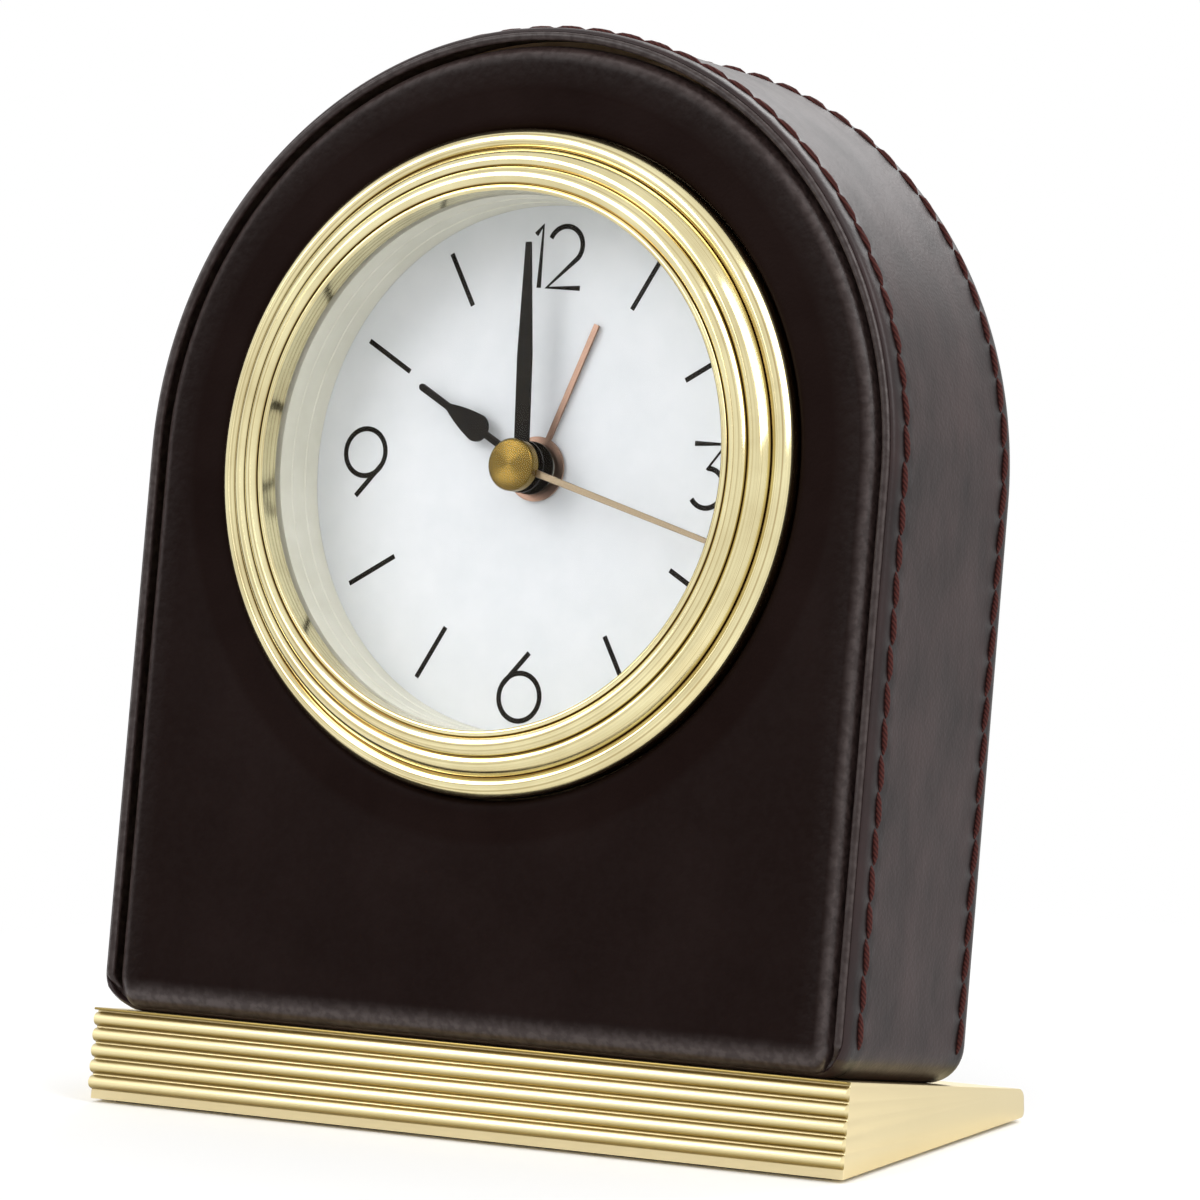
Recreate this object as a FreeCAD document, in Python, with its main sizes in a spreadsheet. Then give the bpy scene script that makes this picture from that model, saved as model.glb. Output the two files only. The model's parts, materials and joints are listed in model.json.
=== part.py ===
import FreeCAD, Part
import math
import os
import Sketcher

# Leather desk alarm clock: an arch-topped case leaning back on a reeded wedge base.
# Millimetres. The row frame has +Z up, +X to the right seen from the front and +Y to the rear.
# Its origin is the centre of the underside of the base pad.

LENGTHS = {
    # Wedge base
    "base_width": 103.2,
    "base_depth": 43.5,
    "base_front_height": 10.85,
    "base_rear_round": 1.0,
    "rib_pitch": 1.88,
    "rib_groove": 0.25,
    "rib_ledge": 0.3,
    "pad_thickness": 0.45,
    "pad_inset": 2.5,
    # Leather-covered case
    "case_border": 12.2,
    "arch_centre_height": 67.0,
    "case_corner": 4.5,
    "case_setback": 0.73,
    "case_depth": 28.4,
    "leather": 0.95,
    "lip_start": 0.6,
    "lip_bevel": 0.55,
    "seat_gap": 0.05,
    "welt_radius": 0.8,
    "welt_inset": 1.3,
    "welt_tail": 0.5,
    "welt_tail_length": 3.6,
    "panel_inset": 2.2,
    "panel_rise": 1.1,
    "panel_bevel": 1.0,
    "panel_back": 4.3,
    "panel_dish_width": 3.0,
    "panel_board": 2.8,
    "core_front": 4.6,
    "core_back": 24.4,
    "rear_board": 2.4,
    # Reeded bezel, its reeds given by width from the rim inwards and rise in front of the panel
    "bezel_wall": 1.9,
    "bezel_flange": 1.8,
    "reed_outer_width": 2.2,
    "reed_outer_groove_rise": 2.75,
    "reed_middle_width": 2.4,
    "reed_middle_groove_rise": 4.25,
    "reed_inner_width": 2.15,
    "reed_inner_groove_rise": 4.8,
    "bezel_bead_width": 0.85,
    "bezel_lens_seat": 2.25,
    "bezel_skirt_wall": 2.3,
    "bezel_skirt_clearance": 0.3,
    "bezel_skirt_depth": 8.0,
    # Lens, dial and the cup that holds them
    "lens_clearance": 0.3,
    "lens_thickness": 1.2,
    "dial_depth": 6.5,
    "dial_thickness": 0.5,
    "dial_clearance": 0.1,
    "cup_bore_step": 0.25,
    "cup_wall": 1.6,
    "plate_clearance": 0.2,
    "cup_back": 23.95,
    "bore_clearance": 0.1,
    # Hands, each given by its plane behind the front panel
    "alarm_hand_depth": 5.85,
    "alarm_hand_length": 18.3,
    "alarm_hand_width": 0.7,
    "alarm_hub_radius": 3.8,
    "hour_hand_depth": 4.6,
    "hour_hand_length": 18.7,
    "hour_stem": 0.85,
    "hour_leaf_width": 3.2,
    "hour_leaf_place": 9.0,
    "hour_stem_end": 7.5,
    "hour_neck_place": 13.8,
    "hub_radius": 3.1,
    "minute_hand_depth": 2.55,
    "minute_hand_length": 26.2,
    "minute_hand_width": 1.96,
    "minute_shoulder": 13.0,
    "minute_tip_width": 0.7,
    "second_hand_depth": 1.55,
    "second_hand_length": 28.0,
    "second_hand_width": 0.7,
    "second_tail_length": 7.5,
    "hand_thickness": 0.3,
    "cap_radius": 3.1,
    "cap_height": 1.45,
    "cap_bevel": 0.45,
    # Coaxial arbors
    "second_arbor_radius": 0.5,
    "minute_tube_radius": 1.2,
    "hour_tube_radius": 1.9,
    "alarm_tube_radius": 2.6,
    "tube_clearance": 0.05,
    "tube_wall_gap": 0.02,
    # Movement plates and the depths of the wheel train behind the front panel
    "front_plate_depth": 7.05,
    "front_plate": 1.25,
    "plate_radius": 32.6,
    "alarm_wheel_depth": 8.6,
    "hour_wheel_depth": 9.7,
    "minute_wheel_depth": 10.8,
    "centre_wheel_depth": 12.2,
    "third_wheel_depth": 13.4,
    "seconds_wheel_depth": 14.5,
    "intermediate_wheel_depth": 15.6,
    "bridge_depth": 16.9,
    "bridge": 1.0,
    "bridge_side": 16.6,
    "bridge_bottom": 6.2,
    "bridge_top": 18.2,
    "wheel_thickness": 0.6,
    "leaf_overhang": 0.15,
    "pivot_radius": 0.35,
    "stud_radius": 0.6,
    "post_radius": 1.3,
    "post_spread": 15.1,
    "post_drop": 4.6,
    "post_top_spread": 6.0,
    "post_top_height": 16.5,
    "stator_post_height": 20.0,
    # Tooth modules and the arbor distances that follow them
    "motion_module": 0.25,
    "hour_module": 0.24,
    "alarm_module": 0.3,
    "centre_module": 0.255,
    "third_module": 0.27,
    "seconds_module": 0.5,
    "rotor_module": 0.27,
    # Electric parts
    "magnet_radius": 2.3,
    "magnet_depth": 12.4,
    "magnet_thickness": 2.2,
    "stator_depth": 13.0,
    "stator_thickness": 0.8,
    "stator_width": 19.0,
    "stator_limb": 2.4,
    "stator_eye": 3.6,
    "coil_height": 25.2,
    "coil_radius": 2.7,
    "coil_length": 11.0,
    "coil_core": 0.9,
    "coil_cheek": 3.3,
    "coil_cheek_thickness": 0.8,
    "board_across": 12.0,
    "board_left": 10.6,
    "board_bottom": 10.4,
    "board_height": 11.0,
    "board_thickness": 1.0,
    "crystal_radius": 1.0,
    "crystal_length": 6.0,
    "buzzer_radius": 7.5,
    "buzzer_thickness": 2.0,
    "buzzer_x": 17.5,
    "buzzer_height": 9.5,
    "contact_strip_width": 2.0,
    "contact_strip": 0.2,
    "contact_strip_reach": 3.4,
    "contact_strip_end": 14.0,
    "contact_strip_depth": 9.35,
    # Dry cell and its contacts
    "cell_radius": 5.25,
    "cell_length": 43.0,
    "cell_nub_radius": 1.9,
    "cell_nub": 0.9,
    "cell_drop": 13.0,
    "cell_depth": 17.6,
    "cell_contact_width": 8.0,
    "cell_contact": 0.3,
    "cell_spring_radius": 3.4,
    "cell_spring_length": 2.6,
    "bay_wall": 1.0,
    # Rear cover with its door, knobs and switch
    "cover_depth": 24.0,
    "cover_thickness": 2.0,
    "cover_edge": 0.1,
    "door_length": 50.0,
    "door_height": 13.0,
    "door_thickness": 1.2,
    "door_clearance": 0.15,
    "door_grip_pitch": 1.2,
    "door_grip_width": 9.0,
    "door_grip_groove": 0.5,
    "bay_opening_length": 46.4,
    "bay_opening_height": 10.6,
    "set_shaft_radius": 0.8,
    "knob_radius": 3.9,
    "knob_height": 2.6,
    "knob_gap": 0.3,
    "knob_groove": 0.4,
    "switch_height": 21.0,
    "switch_length": 5.0,
    "switch_width": 3.0,
    "switch_travel": 4.0,
    "switch_rise": 1.4,
    "switch_foot": 0.8,
    "switch_foot_margin": 1.0,
    "overrun": 5.0,
}

ANGLES = {
    "lean_angle": 10.28,
    "second_angle": 106.4,
    "minute_angle": -3.3,
    "hour_angle": -60.5,
    "alarm_angle": 21.5,
    "motion_angle": 90.0,
    "third_angle": -110.0,
    "intermediate_angle": -40.0,
    "rotor_angle": -40.0,
    "alarm_set_angle": 45.0,
}

COUNTS = {
    "rib_count": 5,
    "cannon_teeth": 12,
    "minute_wheel_teeth": 36,
    "minute_pinion_teeth": 10,
    "hour_wheel_teeth": 40,
    "time_set_teeth": 12,
    "alarm_wheel_teeth": 32,
    "alarm_set_teeth": 24,
    "seconds_pinion_teeth": 6,
    "third_wheel_teeth": 45,
    "third_pinion_teeth": 6,
    "centre_wheel_teeth": 48,
    "seconds_wheel_teeth": 24,
    "intermediate_pinion_teeth": 6,
    "intermediate_wheel_teeth": 45,
    "rotor_pinion_teeth": 6,
    "knob_groove_count": 12,
    "door_grip_count": 3,
}

# Tooth form in modules of the wheel, then the form of a reed on the bezel by its own width
SHARES = {
    "addendum_share": 0.7,
    "dedendum_share": 1.25,
    "tooth_tip_share": 0.12,
    "tooth_root_share": 0.9,
    "reed_outer_share": 0.25,
    "reed_middle_share": 0.3,
    "reed_inner_share": 0.24,
    "bead_share": 0.33,
    "reed_flank_share": 0.27,
    "bead_crest_share": 0.5,
    "welt_bevel_share": 0.586,
}

HALF_TURN = 180.0
FULL_TURN = 360.0

doc = FreeCAD.newDocument("desk_alarm_clock")
sheet = doc.addObject("Spreadsheet::Sheet", "Sizes")
parts = []


class Size:
    """A value from the sheet, or one worked out of several, with the expression that gives it."""

    def __init__(self, value, text):
        self.value = value
        self.text = text

    def __add__(self, other):
        other = as_size(other)
        return Size(self.value + other.value, f"({self.text} + {other.text})")

    def __sub__(self, other):
        other = as_size(other)
        return Size(self.value - other.value, f"({self.text} - {other.text})")

    def __mul__(self, other):
        other = as_size(other)
        return Size(self.value * other.value, f"({self.text} * {other.text})")

    def __truediv__(self, other):
        other = as_size(other)
        return Size(self.value / other.value, f"({self.text} / {other.text})")

    def __neg__(self):
        return Size(-self.value, f"(-1 * {self.text})")

    __radd__ = __add__
    __rmul__ = __mul__


def as_size(number):
    if isinstance(number, Size):
        return number
    return Size(float(number), str(number))


def cosine(angle):
    return Size(math.cos(math.radians(angle.value)), f"cos({angle.text})")


def sine(angle):
    return Size(math.sin(math.radians(angle.value)), f"sin({angle.text})")


def tangent(angle):
    return Size(math.tan(math.radians(angle.value)), f"tan({angle.text})")


def fill_sheet():
    """Write every driving dimension into the sheet and return them by name."""
    named = {}
    row = 1
    for table in (LENGTHS, ANGLES, COUNTS, SHARES):
        for name, value in table.items():
            sheet.set(f"A{row}", name)
            sheet.set(f"B{row}", str(value))
            sheet.setAlias(f"B{row}", name)
            named[name] = Size(value, f"Sizes.{name}")
            row += 1
    doc.recompute()
    return named


def add_round_sizes(named):
    """Everything round follows the movement plate: the cup over it, the bezel over the cup."""
    named["cup_inner"] = named["plate_radius"] + named["plate_clearance"]
    named["cup_radius"] = named["cup_inner"] + named["cup_wall"]
    named["cover_radius"] = named["cup_radius"] - named["cover_edge"]
    named["dial_radius"] = named["cup_inner"] - named["dial_clearance"]
    named["lens_radius"] = named["cup_inner"] - named["lens_clearance"]
    named["bezel_skirt_inner"] = named["cup_radius"] + named["bezel_skirt_clearance"]
    named["bezel_skirt_radius"] = named["bezel_skirt_inner"] + named["bezel_skirt_wall"]
    named["bezel_radius"] = named["bezel_skirt_radius"] + named["bezel_flange"]
    named["outer_groove_radius"] = named["bezel_radius"] - named["reed_outer_width"]
    named["middle_groove_radius"] = named["outer_groove_radius"] - named["reed_middle_width"]
    named["inner_groove_radius"] = named["middle_groove_radius"] - named["reed_inner_width"]
    named["bezel_opening_radius"] = named["inner_groove_radius"] - named["bezel_bead_width"]
    named["cup_bore"] = named["bezel_opening_radius"] - named["cup_bore_step"]
    named["case_half_width"] = named["bezel_radius"] + named["case_border"]


S = fill_sheet()
add_round_sizes(S)
ZERO = as_size(0)


# Frames that the pieces are placed in

LEAN = S["lean_angle"]
HALF_DEPTH = S["base_depth"] / 2
EDGE_Y = S["base_front_height"] * tangent(LEAN) - HALF_DEPTH
EDGE_Z = S["pad_thickness"] + S["base_front_height"]
PANEL_Y = EDGE_Y + S["case_setback"] * cosine(LEAN)
PANEL_Z = EDGE_Z - S["case_setback"] * sine(LEAN)
DIAL_Y = PANEL_Y + S["arch_centre_height"] * sine(LEAN)
DIAL_Z = PANEL_Z + S["arch_centre_height"] * cosine(LEAN)


def place(piece, y, z, turn=None):
    """Set a piece down in a leaning frame; turn is its clockwise angle about the dial axis."""
    lean = FreeCAD.Rotation(FreeCAD.Vector(-1, 0, 0), LEAN.value)
    if turn is None:
        piece.Placement = FreeCAD.Placement(FreeCAD.Vector(0, y.value, z.value), lean)
        piece.setExpression("Placement.Rotation.Angle", LEAN.text)
    else:
        spin = FreeCAD.Rotation(FreeCAD.Vector(0, 1, 0), turn.value)
        piece.Placement = FreeCAD.Placement(FreeCAD.Vector(0, y.value, z.value), lean * spin)
    piece.setExpression("Placement.Base.y", y.text)
    piece.setExpression("Placement.Base.z", z.text)


def on_base(piece):
    place(piece, EDGE_Y, EDGE_Z)


def on_panel(piece):
    place(piece, PANEL_Y, PANEL_Z)


def on_dial(piece, turn=None):
    place(piece, DIAL_Y, DIAL_Z, turn)


# Drawing helpers

def new_piece(label):
    """A piece of the clock, whose label is the name of its file."""
    piece = doc.addObject("PartDesign::Body", label)
    piece.Label = label
    parts.append(piece)
    return piece


def origin_plane(piece, role):
    for feature in piece.Origin.OriginFeatures:
        if feature.Role == role:
            return feature
    raise ValueError(role)


def new_sketch(piece, role="XZ_Plane", depth=ZERO, turn=0.0):
    """A sketch on one of the piece's planes, set back by depth and turned in its plane."""
    sketch = piece.newObject("Sketcher::SketchObject", piece.Name + "_sketch")
    sketch.AttachmentSupport = [(origin_plane(piece, role), "")]
    sketch.MapMode = "FlatFace"
    shift = -depth if role == "XZ_Plane" else depth
    spin = FreeCAD.Rotation(FreeCAD.Vector(0, 0, 1), turn)
    sketch.AttachmentOffset = FreeCAD.Placement(FreeCAD.Vector(0, 0, shift.value), spin)
    sketch.setExpression("AttachmentOffset.Base.z", shift.text)
    return sketch


def bind(sketch, constraint, size):
    index = sketch.addConstraint(constraint)
    sketch.setExpression(f"Constraints[{index}]", size.text)


def fix_point(sketch, geometry, end, x, y):
    """Hold one end of a line or arc at a place worked out from the sheet."""
    bind(sketch, Sketcher.Constraint("DistanceX", -1, 1, geometry, end, x.value), x)
    bind(sketch, Sketcher.Constraint("DistanceY", -1, 1, geometry, end, y.value), y)


def draw_circle(sketch, radius, x=ZERO, y=ZERO):
    centre = FreeCAD.Vector(x.value, y.value, 0)
    circle = sketch.addGeometry(Part.Circle(centre, FreeCAD.Vector(0, 0, 1), radius.value))
    bind(sketch, Sketcher.Constraint("Radius", circle, radius.value), radius)
    fix_point(sketch, circle, 3, x, y)


def arc_between(start, end, radius, side):
    """The short arc from start to end; side 1 swells to the left of the way, -1 to the right."""
    chord = end - start
    half = chord.Length / 2
    rise = radius - math.sqrt(max(radius * radius - half * half, 0.0))
    left = FreeCAD.Vector(-chord.y, chord.x, 0).normalize()
    middle = (start + end) * 0.5 + left * (rise * side)
    return Part.Arc(start, middle, end)


def draw_loop(sketch, corners):
    """A closed outline. Each corner is (x, y) or (x, y, radius, side) where the edge that
    leaves it is an arc."""
    count = len(corners)
    points = [FreeCAD.Vector(corner[0].value, corner[1].value, 0) for corner in corners]
    ends = []
    for index, corner in enumerate(corners):
        start = points[index]
        end = points[(index + 1) % count]
        if len(corner) == 2:
            edge = sketch.addGeometry(Part.LineSegment(start, end))
            ends.append((edge, 1, 2))
        else:
            edge = sketch.addGeometry(arc_between(start, end, corner[2].value, corner[3]))
            forward = sketch.Geometry[edge].StartPoint.isEqual(start, 1e-6)
            ends.append((edge, 1, 2) if forward else (edge, 2, 1))
    for index in range(count):
        following = ends[(index + 1) % count]
        sketch.addConstraint(
            Sketcher.Constraint("Coincident", ends[index][0], ends[index][2], following[0], following[1])
        )
    for index, corner in enumerate(corners):
        fix_point(sketch, ends[index][0], ends[index][1], corner[0], corner[1])
        if len(corner) == 4:
            bind(sketch, Sketcher.Constraint("Radius", ends[index][0], corner[2].value), corner[2])


def draw_box(sketch, left, bottom, right, top):
    draw_loop(sketch, [(left, bottom), (right, bottom), (right, top), (left, top)])


def draw_arch(sketch, inset):
    """The case outline drawn in by inset: flat foot, round corners, straight legs, half-round top."""
    half = S["case_half_width"] - inset
    corner = S["case_corner"] - inset
    foot = inset
    shoulder = S["arch_centre_height"]
    crown = shoulder + half
    draw_loop(sketch, [
        (-half + corner, foot),
        (half - corner, foot, corner, -1),
        (half, foot + corner),
        (half, shoulder, half, -1),
        (ZERO, crown, half, -1),
        (-half, shoulder),
        (-half, foot + corner, corner, -1),
    ])


def pad(piece, sketch, length, towards_rear=True, midplane=False):
    feature = piece.newObject("PartDesign::Pad", piece.Name + "_pad")
    feature.Profile = sketch
    feature.setExpression("Length", length.text)
    feature.Reversed = towards_rear
    feature.Midplane = midplane
    doc.recompute()
    return feature


def pocket(piece, sketch, length, reverse=False, midplane=False):
    """Cut from the sketch to the rear, or to the front when reversed; the solid must get smaller."""
    before = piece.Shape.Volume
    feature = piece.newObject("PartDesign::Pocket", piece.Name + "_pocket")
    feature.Profile = sketch
    feature.setExpression("Length", length.text)
    feature.Reversed = reverse
    feature.Midplane = midplane
    doc.recompute()
    if not piece.Shape.Volume < before:
        raise RuntimeError(f"{feature.Label} cuts nothing")
    return feature


def revolve(piece, sketch):
    feature = piece.newObject("PartDesign::Revolution", piece.Name + "_turned")
    feature.Profile = sketch
    feature.ReferenceAxis = (sketch, ["V_Axis"])
    feature.Angle = FULL_TURN
    doc.recompute()
    return feature


def groove(piece, sketch):
    before = piece.Shape.Volume
    feature = piece.newObject("PartDesign::Groove", piece.Name + "_groove")
    feature.Profile = sketch
    feature.ReferenceAxis = (sketch, ["V_Axis"])
    feature.Angle = FULL_TURN
    doc.recompute()
    if not piece.Shape.Volume < before:
        raise RuntimeError(f"{feature.Label} cuts nothing")
    return feature


def polar(piece, features, count):
    """Repeat features round the piece's own Y axis."""
    pattern = piece.newObject("PartDesign::PolarPattern", piece.Name + "_round")
    pattern.Originals = features
    pattern.Axis = (origin_plane(piece, "Y_Axis"), [""])
    pattern.Angle = FULL_TURN
    pattern.Occurrences = int(count.value)
    pattern.setExpression("Occurrences", count.text)
    piece.Tip = pattern
    doc.recompute()
    return pattern


def in_a_row(piece, features, role, length, count, reverse=False):
    pattern = piece.newObject("PartDesign::LinearPattern", piece.Name + "_row")
    pattern.Originals = features
    pattern.Direction = (origin_plane(piece, role), [""])
    pattern.Reversed = reverse
    pattern.Length = length.value
    pattern.setExpression("Length", length.text)
    pattern.Occurrences = int(count.value)
    pattern.setExpression("Occurrences", count.text)
    piece.Tip = pattern
    doc.recompute()
    return pattern


def round_edges(piece, base, radius, choose):
    """Fillet the edges of the last feature that the chooser accepts."""
    names = []
    for index, edge in enumerate(base.Shape.Edges):
        if choose(edge):
            names.append(f"Edge{index + 1}")
    feature = piece.newObject("PartDesign::Fillet", piece.Name + "_round_edge")
    feature.Base = (base, names)
    feature.setExpression("Radius", radius.text)
    doc.recompute()
    return feature


def bevel_edges(piece, base, size, choose):
    """Chamfer the edges of the last feature that the chooser accepts."""
    names = []
    for index, edge in enumerate(base.Shape.Edges):
        if choose(edge):
            names.append(f"Edge{index + 1}")
    feature = piece.newObject("PartDesign::Chamfer", piece.Name + "_bevel")
    feature.Base = (base, names)
    feature.setExpression("Size", size.text)
    doc.recompute()
    return feature


def lies_at(edge, axis, value):
    """True where the whole edge lies in the plane axis = value."""
    box = edge.BoundBox
    low = {"x": box.XMin, "y": box.YMin, "z": box.ZMin}[axis]
    high = {"x": box.XMax, "y": box.YMax, "z": box.ZMax}[axis]
    return abs(low - value.value) < 1e-4 and abs(high - value.value) < 1e-4


def disc(piece, radius, front, back, x=ZERO, y=ZERO):
    """A round boss or plate between two depths."""
    sketch = new_sketch(piece, depth=front)
    draw_circle(sketch, radius, x, y)
    return pad(piece, sketch, back - front)


def drill(piece, radius, front, back, x=ZERO, y=ZERO):
    sketch = new_sketch(piece, depth=front)
    draw_circle(sketch, radius, x, y)
    return pocket(piece, sketch, back - front)


def plate(piece, corners, front, back):
    sketch = new_sketch(piece, depth=front)
    draw_loop(sketch, corners)
    return pad(piece, sketch, back - front)


def cut_plate(piece, corners, front, back):
    sketch = new_sketch(piece, depth=front)
    draw_loop(sketch, corners)
    return pocket(piece, sketch, back - front)


def corners_of(left, bottom, right, top):
    return [(left, bottom), (right, bottom), (right, top), (left, top)]


# Base

BASE_TOE = -(S["base_front_height"] / cosine(LEAN))
RIB_RADIUS = (S["rib_pitch"] - S["rib_groove"]) / 2


def under_base(depth):
    """Height of the sloping underside, in the base's leaning frame, at a depth along its top."""
    return BASE_TOE + depth * tangent(LEAN)


def make_base_plate():
    """Wedge block with five half-round ribs across its front, under a small plain ledge."""
    piece = new_piece("base_plate")
    slope_length = S["base_depth"] - S["base_front_height"] * tangent(LEAN)
    heel_height = S["base_front_height"] - slope_length * tangent(LEAN)
    heel_y = S["base_depth"] * cosine(LEAN)
    heel_z = BASE_TOE + S["base_depth"] * sine(LEAN)
    wedge = new_sketch(piece, "YZ_Plane")
    draw_loop(wedge, [
        (RIB_RADIUS, ZERO),
        (RIB_RADIUS, under_base(RIB_RADIUS)),
        (heel_y, heel_z),
        (heel_y - heel_height * sine(LEAN), ZERO),
    ])
    block = pad(piece, wedge, S["base_width"], towards_rear=False, midplane=True)
    top_heel = heel_y - heel_height * sine(LEAN)
    round_edges(
        piece, block, S["base_rear_round"],
        lambda edge: lies_at(edge, "y", top_heel) and lies_at(edge, "z", ZERO),
    )
    ledge = new_sketch(piece, "YZ_Plane")
    draw_box(ledge, ZERO, -S["rib_ledge"], RIB_RADIUS, ZERO)
    pad(piece, ledge, S["base_width"], towards_rear=False, midplane=True)
    first = -(S["rib_ledge"] + S["rib_groove"])
    rib = new_sketch(piece, "YZ_Plane")
    draw_loop(rib, [
        (RIB_RADIUS, first, RIB_RADIUS, 1),
        (ZERO, first - RIB_RADIUS, RIB_RADIUS, 1),
        (RIB_RADIUS, first - RIB_RADIUS * 2),
    ])
    one_rib = pad(piece, rib, S["base_width"], towards_rear=False, midplane=True)
    in_a_row(piece, [one_rib], "Z_Axis", S["rib_pitch"] * (S["rib_count"] - 1), S["rib_count"], reverse=True)
    on_base(piece)


def make_base_pad():
    """Thin soft pad stuck under the base, with its rim drawn in from the base's edge."""
    piece = new_piece("base_pad")
    sketch = new_sketch(piece, "XY_Plane")
    half = S["base_width"] / 2 - S["pad_inset"]
    deep = HALF_DEPTH - S["pad_inset"]
    draw_box(sketch, -half, -deep, half, deep)
    pad(piece, sketch, S["pad_thickness"], towards_rear=False)


# Case

CORE_INSET = S["leather"] + S["seat_gap"]
WELT_ROOT = S["welt_inset"] + S["welt_tail"] / 2
CUP_HOLE = S["cup_radius"] + S["bore_clearance"] * 3
SKIRT_HOLE = S["bezel_skirt_radius"] + S["bore_clearance"]
LIP_BACK = S["case_depth"]
WELT_DEPTH = S["lip_start"] - S["welt_radius"] * 1.1


def make_case_core():
    """Wooden core, bored for the clock insert and stepped at the front for the bezel's skirt."""
    piece = new_piece("case_core")
    middle = new_sketch(piece, depth=S["core_front"])
    draw_arch(middle, CORE_INSET)
    pad(piece, middle, S["core_back"] - S["core_front"])
    drill(piece, CUP_HOLE, S["core_front"], S["core_back"], y=S["arch_centre_height"])
    skirt_end = S["bezel_skirt_depth"] + S["seat_gap"]
    drill(piece, SKIRT_HOLE, S["core_front"], skirt_end, y=S["arch_centre_height"])
    on_panel(piece)


def make_side_leather():
    """Leather band round the edge of the case, with bevelled lips at front and rear."""
    piece = new_piece("side_leather")
    outline = new_sketch(piece, depth=S["lip_start"])
    draw_arch(outline, ZERO)
    band = pad(piece, outline, LIP_BACK - S["lip_start"])
    bevel_edges(
        piece, band, S["lip_bevel"],
        lambda edge: lies_at(edge, "y", S["lip_start"]) or lies_at(edge, "y", LIP_BACK),
    )
    inner = new_sketch(piece, depth=S["lip_start"])
    draw_arch(inner, S["leather"])
    pocket(piece, inner, LIP_BACK)
    on_panel(piece)


def make_front_welt():
    """Piping bead that runs right round the case, with a flat tail held between leather and board."""
    piece = new_piece("front_welt")
    front = WELT_DEPTH - S["welt_radius"]
    back = WELT_DEPTH + S["welt_radius"]
    bead = new_sketch(piece, depth=front)
    draw_arch(bead, S["welt_inset"] - S["welt_radius"])
    bead_pad = pad(piece, bead, S["welt_radius"] * 2)
    bevel_edges(
        piece, bead_pad, S["welt_radius"] * S["welt_bevel_share"],
        lambda edge: lies_at(edge, "y", front) or lies_at(edge, "y", back),
    )
    inside = new_sketch(piece, depth=front)
    draw_arch(inside, S["welt_inset"] + S["welt_radius"])
    pocket(piece, inside, S["welt_radius"] * 2)
    tail = new_sketch(piece, depth=WELT_DEPTH)
    draw_arch(tail, WELT_ROOT - S["welt_tail"])
    draw_arch(tail, WELT_ROOT)
    pad(piece, tail, S["welt_tail_length"])
    on_panel(piece)


def cut_dish(piece):
    """Press the padded panel in towards the bezel, as a cone turned about the dial axis."""
    edge = S["bezel_radius"] + S["seat_gap"]
    start = SKIRT_HOLE - S["overrun"]
    front = -(S["panel_rise"] + S["overrun"])
    sketch = new_sketch(piece, "XY_Plane", depth=S["arch_centre_height"])
    draw_loop(sketch, [
        (start, ZERO),
        (start, front),
        (edge + S["panel_dish_width"], front),
        (edge + S["panel_dish_width"], -S["panel_rise"]),
        (edge, ZERO),
    ])
    groove(piece, sketch)


def make_front_leather():
    """Padded leather front: crowned rim, flat face, pressed in under the bezel, wrapped round its board."""
    piece = new_piece("front_leather")
    outline = new_sketch(piece, depth=-S["panel_rise"])
    draw_arch(outline, S["panel_inset"])
    block = pad(piece, outline, S["panel_rise"] + S["panel_back"])
    bevel_edges(piece, block, S["panel_bevel"], lambda edge: lies_at(edge, "y", -S["panel_rise"]))
    centre = S["arch_centre_height"]
    outer_cavity = new_sketch(piece, depth=S["leather"] - S["panel_rise"])
    draw_arch(outer_cavity, S["panel_inset"] + S["leather"])
    draw_circle(outer_cavity, S["bezel_radius"] + S["panel_dish_width"] + S["leather"], y=centre)
    pocket(piece, outer_cavity, S["panel_back"] + S["panel_rise"] + S["overrun"])
    inner_cavity = new_sketch(piece, depth=S["leather"])
    draw_circle(inner_cavity, S["bezel_radius"] + S["panel_dish_width"] + S["leather"] * 1.5, y=centre)
    pocket(piece, inner_cavity, S["panel_back"] + S["overrun"])
    drill(piece, SKIRT_HOLE, -S["panel_rise"] - S["overrun"], S["panel_back"] + S["overrun"], y=centre)
    cut_dish(piece)
    on_panel(piece)


def make_front_foam():
    """Foam sheet between the front leather and its board, open where the bezel presses the leather flat."""
    piece = new_piece("front_foam")
    gap = S["seat_gap"]
    inset = S["panel_inset"] + S["leather"] + gap
    front = S["leather"] - S["panel_rise"] + gap
    back = S["panel_back"] - S["panel_board"]
    outline = new_sketch(piece, depth=front)
    draw_arch(outline, inset)
    hole = S["bezel_radius"] + S["panel_dish_width"] + S["leather"] * 1.5 + gap
    draw_circle(outline, hole, y=S["arch_centre_height"])
    pad(piece, outline, back - front)
    on_panel(piece)


def make_board(label, front, back, inset, hole):
    piece = new_piece(label)
    outline = new_sketch(piece, depth=front)
    draw_arch(outline, inset)
    pad(piece, outline, back - front)
    drill(piece, hole, front, back, y=S["arch_centre_height"])
    on_panel(piece)


def make_boards():
    """Front board inside the padded leather, rear board behind the core, and the rear leather."""
    gap = S["seat_gap"]
    panel_inside = S["panel_inset"] + S["leather"] + gap
    board_front = S["panel_back"] - S["panel_board"] + gap
    make_board("front_board", board_front, S["panel_back"], panel_inside, SKIRT_HOLE)
    rear_front = S["core_back"] + gap
    rear_back = rear_front + S["rear_board"]
    rear_inset = CORE_INSET
    make_board("rear_board", rear_front, rear_back, rear_inset, CUP_HOLE)
    make_board("rear_leather", rear_back + gap, rear_back + gap + S["leather"], rear_inset, CUP_HOLE)


# Bezel, lens, cup and dial, all turned about the dial axis

def turned(label, corners, turn=None):
    piece = new_piece(label)
    sketch = new_sketch(piece, "XY_Plane")
    draw_loop(sketch, corners)
    revolve(piece, sketch)
    on_dial(piece, turn)
    return piece


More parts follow.
